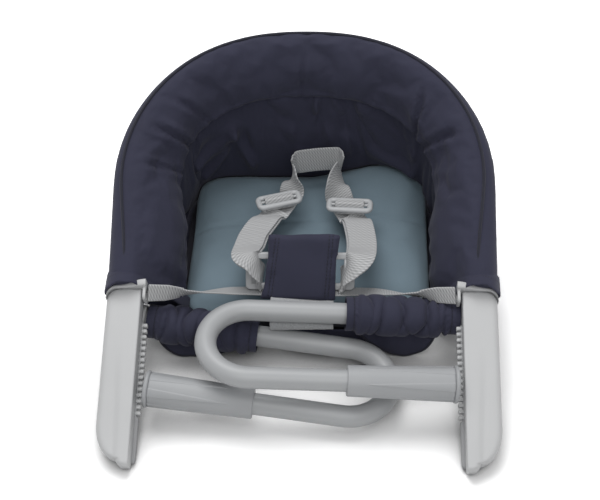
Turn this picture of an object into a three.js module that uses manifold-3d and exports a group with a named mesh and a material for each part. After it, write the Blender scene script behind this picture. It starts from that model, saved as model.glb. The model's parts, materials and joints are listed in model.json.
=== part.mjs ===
// A fabric hook-on table chair, standing on its seat base and the tips of its arms.
// Millimetres, +Z up, the front faces -Y, and +X is on the right as seen from the front.
import * as THREE from "three";
import { mergeVertices } from "three/addons/utils/BufferGeometryUtils.js";
import Module from "manifold-3d";

const wasm = await Module();
wasm.setup();

const DEG = Math.PI / 180;
const RIGHT = 1;
const LEFT = -1;
const SIDES = [
  { sign: LEFT, name: "left" },
  { sign: RIGHT, name: "right" },
];

// Clearances
const FIT = 0.3;
const SOFT_FIT = 0.5;
const TURNING_FIT = 0.35;

// Arms that lie on the table
const ARM_GAP = 328;
const ARM_WIDTH = 36;
const ARM_LENGTH = 183;
const ARM_HEIGHT = 20;
const ARM_SLOPE = 22 * DEG;
const ARM_VALLEY = 1.2;
const ARM_EDGE = 2.2;
const ARM_SHOULDER = 8;
const ARM_TIP_ROUND = 30;

// Ribbed rubber pads under the arms
const PAD_START = 38;
const PAD_END = 178;
const PAD_OVERHANG = 4;
const PAD_THICK = 4.7;
const RIB_COUNT = 16;
const RIB_PITCH = 6.2;
const RIB_DEPTH = 3;

// Frame hoop
const HOOP_DIAMETER = 16;
const HOOP_WALL = 1.5;
const HOOP_DEPTH = 11;
const HOOP_PLUG_LENGTH = 28;
const HOOP_EXIT_FIT = 2;
const HOOP_SLOPE = 32 * DEG;
const HOOP_STRAIGHT = 95;
const HOOP_BACK = 235;
const HOOP_POWER = 2.3;

// Clamp bars that grip the table from below
const TUBE_DIAMETER = 22;
const TUBE_WALL = 1.6;
const LEG_SPACING = 88;
const CLAMP_REACH = 272;
const PIVOT_Y = -3;
const PIVOT_DROP_RIGHT = 33.5;
const PIVOT_DROP_LEFT = 42;
const CLAMP_RISE_RIGHT = 5 * DEG;
const CLAMP_YAW_RIGHT = 2.4 * DEG;
const CLAMP_DROOP_LEFT = 5.2 * DEG;
const CLAMP_YAW_LEFT = 5 * DEG;
const HUB_DIAMETER = 32;
const HUB_LENGTH = 32;
const HUB_NECK = 18;
const BUSH_WALL = 1.7;
const PIVOT_CAP_THICK = 3.6;
const PIVOT_CAP_DIAMETER = 25;
const CAP_PLUG_LENGTH = 16;

// Grip sleeves on the clamp bars
const GRIP_LENGTH = 105;
const GRIP_DIAMETER = 35;
const GRIP_RIB_HEIGHT = 2.2;
const GRIP_RIB_COUNT = 8;
const FLANGE_DIAMETER = 38;
const FLANGE_THICK = 5;
const FLANGE_TO_ARM_RIGHT = 10;
const FLANGE_TO_ARM_LEFT = 17;

// Belt anchors behind the arms
const ANCHOR_THICK = 7;
const ANCHOR_RISE = 9;
const ANCHOR_HEIGHT = 21;
const EAR_THICK = 3;
const EAR_LENGTH = 20;
const EAR_BEHIND = 7;
const EAR_OFFSET = 2;

// Screws that hold the hoop in the arms
const SCREW_DIAMETER = 4;
const SCREW_HEAD = 7.5;
const SCREW_HEAD_HEIGHT = 2.4;
const SCREW_SETBACK = 12;

// Padded rim
const RIM_START = 17;
const RIM_HEAD = 17;
const RIM_LENGTH_SIDE = 85;
const RIM_LENGTH_BACK = 54;
const RIM_TILT_SIDE = 53.5 * DEG;
const RIM_TILT_BACK = 74 * DEG;
const RIM_CROWN = 17;
const RIM_EDGE = 3;
const RIM_PUCKER = 1.4;
const RIM_PUCKER_COUNT = 13;

// Base, seat board and cushion
const BASE_HALF_WIDTH = 147;
const BASE_FRONT = 12;
const BASE_BACK = 246;
const BASE_THICK = 6;
const BASE_POWER = 4;
const BOARD_INSET = 8;
const BOARD_THICK = 5;
const CUSHION_INSET = 13;
const CUSHION_EDGE = 16;
const CUSHION_CROWN = 15;
const CUSHION_REAR_RISE = 12;
const CUSHION_DRAW_IN = 3;

// Slack panel of the back
const PANEL_THICK = 4;
const PANEL_START = 48;
const PANEL_DROP = 2.5;
const PANEL_FOLD = 5;
const PANEL_FOLD_COUNT = 9;

// Front apron
const APRON_HALF_WIDTH = 166;
const APRON_HEIGHT = 21.5;
const APRON_THICK = 4;
const APRON_LOBE_LEFT = 128;
const APRON_LOBE_RIGHT = 108;
const APRON_LOBE_HALF = 38;
const APRON_LOBE_BULGE = 20;
const APRON_MIDDLE_LIFT = 2;

// Gathered sleeves round the clamp bars
const SOCK_START = 2;
const SOCK_LENGTH = 117;
const SOCK_FULL = 18;
const SOCK_SLIM = 13.8;
const SOCK_FULL_END = 30;
const SOCK_SLIM_START = 54;
const SOCK_PLEAT = 1.2;
const SOCK_PLEAT_PITCH = 9;

// Webbing
const WEB_WIDTH = 31;
const WEB_THICK = 1.8;
const BELT_WIDTH = 22;

// Crotch strap, pad and buckle
const CROTCH_LEAN = 55 * DEG;
const CROTCH_Y = 15;
const CROTCH_RISE = -6;
const CROTCH_PAD_WIDTH = 76;
const CROTCH_PAD_LENGTH = 70;
const CROTCH_PAD_THICK = 9;
const CROTCH_STRAP_WIDTH = 66;
const CROTCH_STRAP_THICK = 2;
const CROTCH_STRAP_INSERT = 30;
const WRAP_ANGLES = [-20, -50, -80, -105];
const BUCKLE_UP = 27;
const BUCKLE_WIDTH = 48;
const BUCKLE_HEIGHT = 36;
const BUCKLE_THICK = 11;
const BUCKLE_GAP = 2.5;
const BUTTON_WIDTH = 12;
const BUTTON_HEIGHT = 16;
const BUTTON_PROUD = 1;
const BUTTON_DEPTH = 6;
const CLIP_WIDTH = 32;
const CLIP_HEIGHT = 40;
const CLIP_THICK = 6;
const CLIP_BAR = 4.5;
const BELT_BELOW = 2.6;
const BELT_TURN = 20 * DEG;
const BELT_SAG = 1;
const TONGUE_LENGTH = 18;
const TONGUE_HEIGHT = 20;
const TONGUE_THICK = 4;

// Strap sliders
const SLIDER_WIDTH = 50;
const SLIDER_LENGTH = 20;
const SLIDER_THICK = 8;
const SLIDER_TRAVEL = 6;

// Neck strap that joins the shoulder straps
const NECK_LENGTH = 58;
const NECK_X = 12;
const NECK_AHEAD = 48;
const NECK_HEIGHT = 92;
const NECK_SEAM = 1.3;

// Where the shoulder straps bow out and pass through their sliders
const LEFT_BOW_X = 57;
const RIGHT_BOW_X = 63;
const BOW_Y = 76;
const BOW_Z = 82;
const LEFT_SLIDER_X = 31;
const RIGHT_SLIDER_X = 49;
const SLIDER_Y = 144;
const SLIDER_Z = 77;

const MATERIALS = {
  armPlastic: { color: 0xc5c7c8, roughness: 0.5, metalness: 0 },
  rubber: { color: 0x9d9fa2, roughness: 0.8, metalness: 0 },
  paintedTube: { color: 0xa6a8ab, roughness: 0.4, metalness: 0.2 },
  gripPlastic: { color: 0x97999c, roughness: 0.55, metalness: 0 },
  hoopMetal: { color: 0xb9bcc0, roughness: 0.35, metalness: 0.9 },
  screwSteel: { color: 0x8f9296, roughness: 0.3, metalness: 1 },
  navyCloth: { color: 0x2b2c3d, roughness: 0.9, metalness: 0 },
  tealCloth: { color: 0x55697a, roughness: 0.9, metalness: 0 },
  board: { color: 0x6a6660, roughness: 0.7, metalness: 0 },
  webbing: { color: 0xafb2b5, roughness: 0.85, metalness: 0 },
  bucklePlastic: { color: 0x9fa2a5, roughness: 0.45, metalness: 0 },
};

// Sizes that follow from the ones above
const TUBE_RADIUS = TUBE_DIAMETER / 2;
const HOOP_RADIUS = HOOP_DIAMETER / 2;
const PAD_TOP = ARM_HEIGHT + FIT;
const ARM_TOP_Z = PAD_END * Math.sin(ARM_SLOPE) + (PAD_TOP + PAD_THICK) * Math.cos(ARM_SLOPE);
const HOOP_HALF_WIDTH = ARM_GAP / 2 + ARM_WIDTH / 2;
const HOOP_START_Y = HOOP_DEPTH * Math.sin(ARM_SLOPE);
const HOOP_START_Z = ARM_TOP_Z - HOOP_DEPTH * Math.cos(ARM_SLOPE);
const BOARD_BOTTOM = BASE_THICK + FIT;
const CUSHION_BOTTOM = BOARD_BOTTOM + BOARD_THICK + FIT;
const BUSH_OUTER = TUBE_RADIUS + TURNING_FIT + BUSH_WALL;
const WEB_HALF = WEB_THICK / 2;

const vec = (x, y, z) => new THREE.Vector3(x, y, z);
const sideways = vec(1, 0, 0);
const lerp = THREE.MathUtils.lerp;
const smoothstep = THREE.MathUtils.smoothstep;

function orient(geometry) {
  const p = geometry.getAttribute("position");
  const index = geometry.index.array;
  const [a, b, c] = [vec(0, 0, 0), vec(0, 0, 0), vec(0, 0, 0)];
  let volume = 0;
  for (let i = 0; i < index.length; i += 3) {
    a.fromBufferAttribute(p, index[i]);
    b.fromBufferAttribute(p, index[i + 1]);
    c.fromBufferAttribute(p, index[i + 2]);
    volume += a.dot(b.cross(c));
  }
  if (volume < 0) {
    for (let i = 0; i < index.length; i += 3) {
      const kept = index[i + 1];
      index[i + 1] = index[i + 2];
      index[i + 2] = kept;
    }
  }
  return geometry;
}

function fromPoints(points, triangles) {
  const geometry = new THREE.BufferGeometry().setFromPoints(points);
  geometry.setIndex(triangles);
  return orient(geometry);
}

function addSkin(triangles, ringCount, ringSize, first, inward) {
  for (let i = 0; i < ringCount - 1; i += 1) {
    for (let j = 0; j < ringSize; j += 1) {
      const next = (j + 1) % ringSize;
      const a = first + i * ringSize + j;
      const b = first + i * ringSize + next;
      const c = a + ringSize;
      const d = b + ringSize;
      if (inward) triangles.push(a, c, b, b, c, d);
      else triangles.push(a, b, c, b, d, c);
    }
  }
}

// A closed solid through rings of equal size, capped at both ends.
function loft(rings) {
  const size = rings[0].length;
  const points = rings.flat();
  const triangles = [];
  addSkin(triangles, rings.length, size, 0, false);
  const ends = [
    { ring: rings[0], first: 0, flip: true },
    { ring: rings.at(-1), first: (rings.length - 1) * size, flip: false },
  ];
  for (const end of ends) {
    const centre = vec(0, 0, 0);
    for (const point of end.ring) centre.addScaledVector(point, 1 / size);
    const hub = points.push(centre) - 1;
    for (let j = 0; j < size; j += 1) {
      const a = end.first + j;
      const b = end.first + ((j + 1) % size);
      if (end.flip) triangles.push(b, a, hub);
      else triangles.push(a, b, hub);
    }
  }
  return fromPoints(points, triangles);
}

// A sleeve: an outer and an inner skin of matching rings, joined at both ends.
function sleeve(outer, inner) {
  const size = outer[0].length;
  const points = [...outer.flat(), ...inner.flat()];
  const triangles = [];
  const innerFirst = outer.length * size;
  addSkin(triangles, outer.length, size, 0, false);
  addSkin(triangles, inner.length, size, innerFirst, true);
  const ends = [
    { out: 0, inn: innerFirst, flip: true },
    { out: (outer.length - 1) * size, inn: innerFirst + (inner.length - 1) * size, flip: false },
  ];
  for (const end of ends) {
    for (let j = 0; j < size; j += 1) {
      const next = (j + 1) % size;
      const [a, b] = [end.out + j, end.out + next];
      const [c, d] = [end.inn + j, end.inn + next];
      if (end.flip) triangles.push(a, c, b, b, c, d);
      else triangles.push(a, b, c, b, d, c);
    }
  }
  return fromPoints(points, triangles);
}

// Rings of a round section along a path; up is never parallel to the path.
function pathRings(path, radius, sides, up) {
  return path.map((point, i) => {
    const before = path[Math.max(i - 1, 0)];
    const after = path[Math.min(i + 1, path.length - 1)];
    const tangent = after.clone().sub(before).normalize();
    const side = tangent.clone().cross(up).normalize();
    const lift = side.clone().cross(tangent);
    return Array.from({ length: sides }, (_, k) => {
      const angle = (2 * Math.PI * k) / sides;
      return point
        .clone()
        .addScaledVector(side, radius * Math.cos(angle))
        .addScaledVector(lift, radius * Math.sin(angle));
    });
  });
}

function bare(geometry) {
  const kept = geometry.clone();
  kept.deleteAttribute("normal");
  kept.deleteAttribute("uv");
  return mergeVertices(kept, 1e-4);
}

function toSolid(geometry) {
  const merged = orient(bare(geometry));
  return new wasm.Manifold(
    new wasm.Mesh({
      numProp: 3,
      vertProperties: new Float32Array(merged.getAttribute("position").array),
      triVerts: new Uint32Array(merged.index.array),
    }),
  );
}

// Joins a list of geometries and cuts another list from the result.
function carve(joined, cutters) {
  let solid = toSolid(joined[0]);
  for (const geometry of joined.slice(1)) solid = solid.add(toSolid(geometry));
  for (const geometry of cutters) solid = solid.subtract(toSolid(geometry));
  const mesh = solid.getMesh();
  const geometry = new THREE.BufferGeometry();
  const positions = new Float32Array(mesh.vertProperties);
  geometry.setAttribute("position", new THREE.BufferAttribute(positions, 3));
  geometry.setIndex([...mesh.triVerts]);
  return geometry;
}

function boxBetween(low, high) {
  const size = high.clone().sub(low);
  const geometry = new THREE.BoxGeometry(size.x, size.y, size.z);
  const centre = low.clone().add(high).multiplyScalar(0.5);
  return geometry.translate(centre.x, centre.y, centre.z);
}

// A lathe whose axis is local X, from [x, radius] pairs.
function turned(profile, segments) {
  const points = profile.map(([x, radius]) => new THREE.Vector2(radius, x));
  return new THREE.LatheGeometry(points, segments).rotateZ(-Math.PI / 2);
}

function mesh(name, geometry, material) {
  const made = new THREE.Mesh(geometry, new THREE.MeshStandardMaterial(MATERIALS[material]));
  made.name = name;
  return made;
}

// Frames of the arms and the clamp bars
function armFrame(side) {
  const group = new THREE.Group();
  group.position.set((side.sign * ARM_GAP) / 2, 0, ARM_TOP_Z);
  group.rotation.x = ARM_SLOPE;
  group.scale.x = side.sign;
  group.updateMatrix();
  return group;
}

const pivotDrop = (side) => (side.sign === RIGHT ? PIVOT_DROP_RIGHT : PIVOT_DROP_LEFT);
const pivotArmY = (side) =>
  (PIVOT_Y - pivotDrop(side) * Math.sin(ARM_SLOPE)) / Math.cos(ARM_SLOPE);

function clampMatrix(side) {
  const armY = pivotArmY(side);
  const drop = pivotDrop(side);
  const z = ARM_TOP_Z + armY * Math.sin(ARM_SLOPE) - drop * Math.cos(ARM_SLOPE);
  const inward =
    side.sign === RIGHT
      ? vec(-1, -Math.tan(CLAMP_YAW_RIGHT), Math.tan(CLAMP_RISE_RIGHT))
      : vec(1, -Math.tan(CLAMP_YAW_LEFT), -Math.tan(CLAMP_DROOP_LEFT));
  inward.normalize();
  const up = vec(0, 0, 1);
  const forward = up.clone().cross(inward).multiplyScalar(side.sign).normalize();
  up.crossVectors(inward, forward).multiplyScalar(side.sign);
  const origin = vec((side.sign * ARM_GAP) / 2, PIVOT_Y, z);
  return new THREE.Matrix4().makeBasis(inward, forward, up).setPosition(origin);
}

function clampFrame(side) {
  const group = new THREE.Group();
  group.matrixAutoUpdate = false;
  group.matrix.copy(clampMatrix(side));
  return group;
}

// Arm pieces, in the arm's frame: x outward from the inner edge, y back, z up from the top
function armSection(y) {
  const left = ARM_LENGTH + y;
  const round = Math.min(left / ARM_TIP_ROUND, 1);
  const bow = 1 - Math.sqrt(1 - (1 - round) ** 2);
  const outer = ARM_WIDTH - (ARM_WIDTH * 0.62) * bow;
  const inner = ARM_WIDTH * 0.1 * bow;
  const middle = (inner + outer) / 2;
  const shoulder = Math.min(ARM_SHOULDER, (outer - inner) / 4);
  return [
    vec(inner, y, -ARM_HEIGHT),
    vec(inner, y, -ARM_EDGE),
    vec(inner + ARM_EDGE, y, 0),
    vec(middle, y, -ARM_VALLEY),
    vec(outer - shoulder, y, -ARM_VALLEY / 2),
    vec(outer - shoulder / 4, y, -shoulder / 2),
    vec(outer, y, -shoulder),
    vec(outer, y, -ARM_HEIGHT),
  ];
}

function armShell(side, frame) {
  const rounds = [1, 0.75, 0.5, 0.3, 0.15, 0.05, 0.01];
  const stations = [0, ...rounds.map((share) => ARM_TIP_ROUND * share - ARM_LENGTH)];
  const blade = loft(stations.map(armSection));
  const toArm = frame.matrix.clone().invert().multiply(clampMatrix(side));
  const hubRadius = HUB_DIAMETER / 2;
  const hub = turned([[-HUB_LENGTH, 0], [-HUB_LENGTH, hubRadius], [-FIT, hubRadius], [-FIT, 0]], 24);
  const boreRadius = BUSH_OUTER + FIT;
  const boreEnd = HUB_LENGTH + HUB_DIAMETER;
  const bore = turned([[-boreEnd, 0], [-boreEnd, boreRadius], [10, boreRadius], [10, 0]], 24);
  const neckY = pivotArmY(side);
  const neck = boxBetween(
    vec(ARM_EDGE, neckY - HUB_NECK / 2, -pivotDrop(side)),
    vec(HUB_LENGTH - ARM_EDGE, neckY + HUB_NECK / 2, -ARM_HEIGHT / 2),
  );
  const socket = new THREE.CylinderGeometry(HOOP_RADIUS + FIT, HOOP_RADIUS + FIT, HOOP_PLUG_LENGTH * 2, 24);
  socket.translate(ARM_WIDTH / 2, 0, -HOOP_DEPTH);
  const screwBore = new THREE.CylinderGeometry(
    SCREW_DIAMETER / 2 + FIT, SCREW_DIAMETER / 2 + FIT, ARM_HEIGHT, 12,
  );
  screwBore.rotateZ(Math.PI / 2);
  screwBore.translate(ARM_WIDTH, -SCREW_SETBACK, -HOOP_DEPTH);
  hub.applyMatrix4(toArm);
  bore.applyMatrix4(toArm);
  return mesh(`${side.name}_arm_shell`, carve([blade, neck, hub], [bore, socket, screwBore]), "armPlastic");
}

function padSection(y, ribbed) {
  const inner = -PAD_OVERHANG - ribbed * 1;
  const bottom = -PAD_TOP - PAD_THICK - ribbed * RIB_DEPTH;
  const round = Math.min((PAD_END + y) / (ARM_TIP_ROUND / 2) + 0.25, 1);
  const outer = lerp(ARM_WIDTH / 2, ARM_WIDTH - 2 * ARM_EDGE, round);
  return [
    vec(inner, y, -PAD_TOP),
    vec(outer, y, -PAD_TOP),
    vec(outer, y, bottom),
    vec(inner, y, bottom),
  ];
}

function tablePad(side) {
  const rings = [padSection(-PAD_START + RIB_PITCH / 2, 0)];
  for (let rib = 0; rib < RIB_COUNT; rib += 1) {
    const start = -PAD_START - rib * RIB_PITCH;
    rings.push(padSection(start, 0));
    rings.push(padSection(start - RIB_PITCH * 0.2, 1));
    rings.push(padSection(start - RIB_PITCH * 0.6, 1));
    rings.push(padSection(start - RIB_PITCH * 0.8, 0));
  }
  for (const share of [0.5, 0.2, 0]) rings.push(padSection(share * ARM_TIP_ROUND - PAD_END, 0));
  return mesh(`${side.name}_table_pad`, loft(rings), "rubber");
}

function beltAnchor(side) {
  const plate = new THREE.Shape();
  plate.moveTo(-EAR_OFFSET - EAR_THICK, -ANCHOR_HEIGHT + ANCHOR_RISE);
  plate.lineTo(ARM_WIDTH, -ANCHOR_HEIGHT + ANCHOR_RISE);
  plate.lineTo(ARM_WIDTH, -ARM_EDGE);
  plate.lineTo(ARM_WIDTH - ARM_SHOULDER, ARM_EDGE);
  plate.lineTo(ARM_SHOULDER, ANCHOR_RISE - ARM_EDGE);
  plate.lineTo(-EAR_OFFSET - EAR_THICK, ANCHOR_RISE);
  plate.closePath();
  const slotLow = EAR_THICK - ANCHOR_HEIGHT + ANCHOR_RISE;
  const block = new THREE.ExtrudeGeometry(plate, { depth: ANCHOR_THICK, bevelEnabled: false });
  block.rotateX(Math.PI / 2);
  block.translate(0, ANCHOR_THICK + FIT, 0);
  const ear = boxBetween(
    vec(-EAR_OFFSET - EAR_THICK, FIT + EAR_BEHIND - EAR_LENGTH, -ANCHOR_HEIGHT + ANCHOR_RISE),
    vec(-EAR_OFFSET, FIT + EAR_BEHIND, ANCHOR_RISE),
  );
  const slot = boxBetween(
    vec(-EAR_OFFSET - 2 * EAR_THICK, FIT + EAR_BEHIND - EAR_LENGTH + EAR_THICK, slotLow),
    vec(-EAR_OFFSET / 2, -FIT, ANCHOR_RISE - EAR_THICK),
  );
  const holeRadius = HOOP_RADIUS + HOOP_EXIT_FIT;
  const hole = new THREE.CylinderGeometry(holeRadius, holeRadius, ANCHOR_THICK * 4, 24);
  hole.translate(ARM_WIDTH / 2, 0, -HOOP_DEPTH);
  return mesh(`${side.name}_belt_anchor`, carve([block, ear], [slot, hole]), "armPlastic");
}

function hoopScrew(side) {
  const tip = ARM_WIDTH / 2 + HOOP_RADIUS + FIT;
  const head = ARM_WIDTH + FIT;
  const screw = turned(
    [
      [tip, 0],
      [tip, SCREW_DIAMETER / 2],
      [head, SCREW_DIAMETER / 2],
      [head, SCREW_HEAD / 2],
      [head + SCREW_HEAD_HEIGHT / 2, SCREW_HEAD / 2],
      [head + SCREW_HEAD_HEIGHT, SCREW_HEAD / 4],
      [head + SCREW_HEAD_HEIGHT, 0],
    ],
    16,
  );
  screw.translate(0, -SCREW_SETBACK, -HOOP_DEPTH);
  return mesh(`${side.name}_hoop_screw`, screw, "screwSteel");
}

// Clamp pieces, in the clamp's frame: x inward along the pivot, y forward, z up
const flangeX = (side) => (side.sign === RIGHT ? FLANGE_TO_ARM_RIGHT : FLANGE_TO_ARM_LEFT);
const gripX = (side) => flangeX(side) + FLANGE_THICK + FIT;
const bendX = CLAMP_REACH - LEG_SPACING / 2 - TUBE_RADIUS;

function clampPath(side) {
  const bendRadius = LEG_SPACING / 2;
  const bendSteps = 12;
  const path = [vec(-HUB_LENGTH, 0, 0), vec(bendX / 2, 0, 0)];
  for (let i = 0; i <= bendSteps; i += 1) {
    const angle = (Math.PI * i) / bendSteps;
    path.push(vec(bendX + bendRadius * Math.sin(angle), bendRadius * (1 - Math.cos(angle)), 0));
  }
  path.push(vec(gripX(side), LEG_SPACING, 0));
  return path;
}

function clampTube(side) {
  const up = vec(0, 0, 1);
  const outer = pathRings(clampPath(side), TUBE_RADIUS, 16, up);
  const inner = pathRings(clampPath(side), TUBE_RADIUS - TUBE_WALL, 16, up);
  return mesh(`${side.name}_clamp_tube`, sleeve(outer, inner), "paintedTube");
}

function plugRadius() {
  return TUBE_RADIUS - TUBE_WALL - FIT;
}

function pivotBush(side) {
  const inner = TUBE_RADIUS + TURNING_FIT;
  const ends = [-HUB_LENGTH + FIT, -FIT];
  const ring = (radius) =>
    pathRings(ends.map((x) => vec(x, 0, 0)), radius, 24, vec(0, 0, 1));
  return mesh(`${side.name}_pivot_bush`, sleeve(ring(BUSH_OUTER), ring(inner)), "gripPlastic");
}

function pivotCap(side) {
  const face = -HUB_LENGTH - FIT;
  const cap = turned(
    [
      [face - PIVOT_CAP_THICK, 0],
      [face - PIVOT_CAP_THICK, PIVOT_CAP_DIAMETER / 2 - ARM_EDGE],
      [face - PIVOT_CAP_THICK / 2, PIVOT_CAP_DIAMETER / 2],
      [face, PIVOT_CAP_DIAMETER / 2],
      [face, plugRadius()],
      [face + CAP_PLUG_LENGTH, plugRadius()],
      [face + CAP_PLUG_LENGTH, 0],
    ],
    24,
  );
  return mesh(`${side.name}_pivot_cap`, cap, "gripPlastic");
}

function gripRadius(angle, share) {
  const wave = Math.max(0, Math.cos((angle * GRIP_RIB_COUNT) / 2));
  return GRIP_DIAMETER / 2 - GRIP_RIB_HEIGHT * (1 - wave * (1 - share));
}

function gripSleeve(side) {
  const sides = GRIP_RIB_COUNT * 4;
  const bore = TUBE_RADIUS + FIT;
  const shares = [0, 0.25, 0.5, 0.75, 1];
  const ring = (share, radiusAt) =>
    Array.from({ length: sides }, (_, k) => {
      const angle = (2 * Math.PI * k) / sides;
      const radius = radiusAt(angle, share);
      const x = gripX(side) + share * GRIP_LENGTH;
      return vec(x, LEG_SPACING + radius * Math.cos(angle), radius * Math.sin(angle));
    });
  const outer = shares.map((share) => ring(share, gripRadius));
  const inner = [0, 1].map((share) => ring(share, () => bore));
  return mesh(`${side.name}_grip_sleeve`, sleeve(outer, inner), "gripPlastic");
}

function gripCap(side) {
  const radius = FLANGE_DIAMETER / 2;
  const face = flangeX(side);
  const inner = face + FLANGE_THICK;
  const cap = turned(
    [
      [face, 0],
      [face, radius - FLANGE_THICK / 2],
      [face + FLANGE_THICK / 4, radius - FLANGE_THICK / 8],
      [face + FLANGE_THICK / 2, radius],
      [inner, radius - FLANGE_THICK / 8],
      [inner, plugRadius()],
      [inner + CAP_PLUG_LENGTH, plugRadius()],
      [inner + CAP_PLUG_LENGTH, 0],
    ],
    32,
  );
  cap.translate(0, LEG_SPACING, 0);
  return mesh(`${side.name}_grip_cap`, cap, "gripPlastic");
}

function sockRadius(x, angle) {
  const slim = smoothstep(x, SOCK_FULL_END, SOCK_SLIM_START);
  const phase = (2 * Math.PI * x) / SOCK_PLEAT_PITCH;
  return lerp(SOCK_FULL, SOCK_SLIM, slim) + SOCK_PLEAT * Math.sin(phase + Math.sin(angle));
}

function sock(side) {
  const sides = 14;
  const stepsPerPleat = 4;
  const count = Math.round((SOCK_LENGTH / SOCK_PLEAT_PITCH) * stepsPerPleat);
  const bore = TUBE_RADIUS + SOFT_FIT;
  const ring = (x, radiusAt) =>
    Array.from({ length: sides }, (_, k) => {
      const angle = (2 * Math.PI * k) / sides;
      const radius = radiusAt(x, angle);
      return vec(x, radius * Math.cos(angle), radius * Math.sin(angle));
    });
  const xs = Array.from({ length: count + 1 }, (_, i) => SOCK_START + (i / count) * SOCK_LENGTH);
  const outer = xs.map((x) => ring(x, sockRadius));
  const inner = [xs[0], xs.at(-1)].map((x) => ring(x, () => bore));
  return mesh(`${side.name}_sock`, sleeve(outer, inner), "navyCloth");
}

// The hoop's centreline and the padded rim round it
function horseshoe(halfWidth, straight, back, power, angle) {
  const c = Math.cos(angle);
  const s = Math.sin(angle);
  const x = halfWidth * Math.sign(c) * Math.abs(c) ** (2 / power);
  const y = straight + (back - straight) * Math.abs(s) ** (2 / power);
  return vec(x, y, 0);
}

function horseshoePath(halfWidth, straight, back, power, start, sideSteps, bendSteps) {
  const path = [];
  for (let i = 0; i < sideSteps; i += 1) {
    path.push(vec(-halfWidth, lerp(start, straight, i / sideSteps), 0));
  }
  for (let i = 0; i <= bendSteps; i += 1) {
    path.push(horseshoe(halfWidth, straight, back, power, Math.PI * (1 - i / bendSteps)));
  }
  for (let i = sideSteps - 1; i >= 0; i -= 1) {
    path.push(vec(halfWidth, lerp(start, straight, i / sideSteps), 0));
  }
  return path;
}

function hoopHeight(y) {
  return HOOP_START_Z + (y - HOOP_START_Y) * Math.tan(HOOP_SLOPE);
}

function hoopPath(start, sideSteps, bendSteps) {
  const plan = horseshoePath(
    HOOP_HALF_WIDTH, HOOP_STRAIGHT, HOOP_BACK, HOOP_POWER, start, sideSteps, bendSteps,
  );
  for (const point of plan) point.z = hoopHeight(point.y);
  return plan;
}

function hoopLine() {
  const middle = hoopPath(RIM_START, 3, 26);
  const back = vec(0, Math.cos(ARM_SLOPE), Math.sin(ARM_SLOPE));
  const entry = vec(HOOP_HALF_WIDTH, HOOP_START_Y, HOOP_START_Z);
  const end = entry.clone().addScaledVector(back, FIT - HOOP_PLUG_LENGTH);
  const mirrored = (point) => vec(-point.x, point.y, point.z);
  return [mirrored(end), mirrored(entry), ...middle, entry, end];
}

function hoopTube() {
  const up = vec(0, 0, 1);
  const outer = pathRings(hoopLine(), HOOP_RADIUS, 14, up);
  const inner = pathRings(hoopLine(), HOOP_RADIUS - HOOP_WALL, 14, up);
  return mesh("hoop_tube", sleeve(outer, inner), "hoopMetal");
}

function inwardNormal(path, i) {
  const before = path[Math.max(i - 1, 0)];
  const after = path[Math.min(i + 1, path.length - 1)];
  const along = after.clone().sub(before).setZ(0).normalize();
  return vec(along.y, -along.x, 0);
}

// The rim's length, tilt and directions at a point of the hoop's path.
function rimFrame(path, i) {
  const inward = inwardNormal(path, i);
  const backness = Math.abs(inward.y);
  const tilt = lerp(RIM_TILT_SIDE, RIM_TILT_BACK, backness);
  const length = lerp(RIM_LENGTH_SIDE, RIM_LENGTH_BACK, backness);
  const down = inward.clone().multiplyScalar(Math.cos(tilt)).setZ(-Math.sin(tilt));
  const face = inward.clone().multiplyScalar(Math.sin(tilt)).setZ(Math.cos(tilt));
  return { point: path[i], inward, down, face, length };
}

function rimSection(path, i) {
  const { point, down, face, length } = rimFrame(path, i);
  const share = i / (path.length - 1);
  const pucker = RIM_PUCKER * Math.cos(2 * Math.PI * RIM_PUCKER_COUNT * share);
  const at = (s, n) => point.clone().addScaledVector(down, s).addScaledVector(face, n);
  const headArc = [100, 130, 160, 190, 220, 250].map((angle) =>
    at(RIM_HEAD * Math.cos(angle * DEG), RIM_HEAD * Math.sin(angle * DEG)),
  );
  return [
    at(length, RIM_EDGE),
    at(length * 0.85, RIM_CROWN * 0.55 + pucker * 0.5),
    at(length * 0.55, RIM_CROWN * 0.9 + pucker),
    at(length * 0.25, RIM_CROWN * 1.05 + pucker * 0.5),
    ...headArc,
    at(length * 0.2, -RIM_HEAD * 0.9),
    at(length * 0.55, -RIM_HEAD * 0.6),
    at(length, -RIM_EDGE),
  ];
}

function rimPad() {
  const path = hoopPath(RIM_START, 4, 32);
  const body = loft(path.map((_, i) => rimSection(path, i)));
  const bore = loft(pathRings(hoopLine(), HOOP_RADIUS + SOFT_FIT, 14, vec(0, 0, 1)));
  return mesh("rim_pad", carve([body], [bore]), "navyCloth");
}

function basePath(inset, start, sideSteps, bendSteps) {
  const straight = (BASE_FRONT + BASE_BACK) / 2;
  return horseshoePath(
    BASE_HALF_WIDTH - inset, straight, BASE_BACK - inset, BASE_POWER, start, sideSteps, bendSteps,
  );
}

function backPanel() {
  const rimPath = hoopPath(PANEL_START, 3, 36);
  const footPath = basePath(PANEL_THICK, PANEL_START, 3, 36);
  const shares = [0, 0.25, 0.5, 0.75, 1];
  const sections = rimPath.map((_, i) => {
    const { point, inward, down, length } = rimFrame(rimPath, i);
    const top = point.clone().addScaledVector(down, length + PANEL_DROP);
    const foot = footPath[i].clone().setZ(BASE_THICK + FIT);
    const share = i / (rimPath.length - 1);
    const wave = Math.cos(2 * Math.PI * PANEL_FOLD_COUNT * share);
    const fold = PANEL_FOLD * Math.sin(Math.PI * share);
    const line = (offset) =>
      shares.map((h) => {
        const bulge = fold * Math.sin(Math.PI * h) * (1 + wave);
        return top.clone().lerp(foot, h).addScaledVector(inward, bulge + offset);
      });
    return [...line(PANEL_THICK / 2), ...line(-PANEL_THICK / 2).reverse()];
  });
  return mesh("back_panel", loft(sections), "navyCloth");
}

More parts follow.
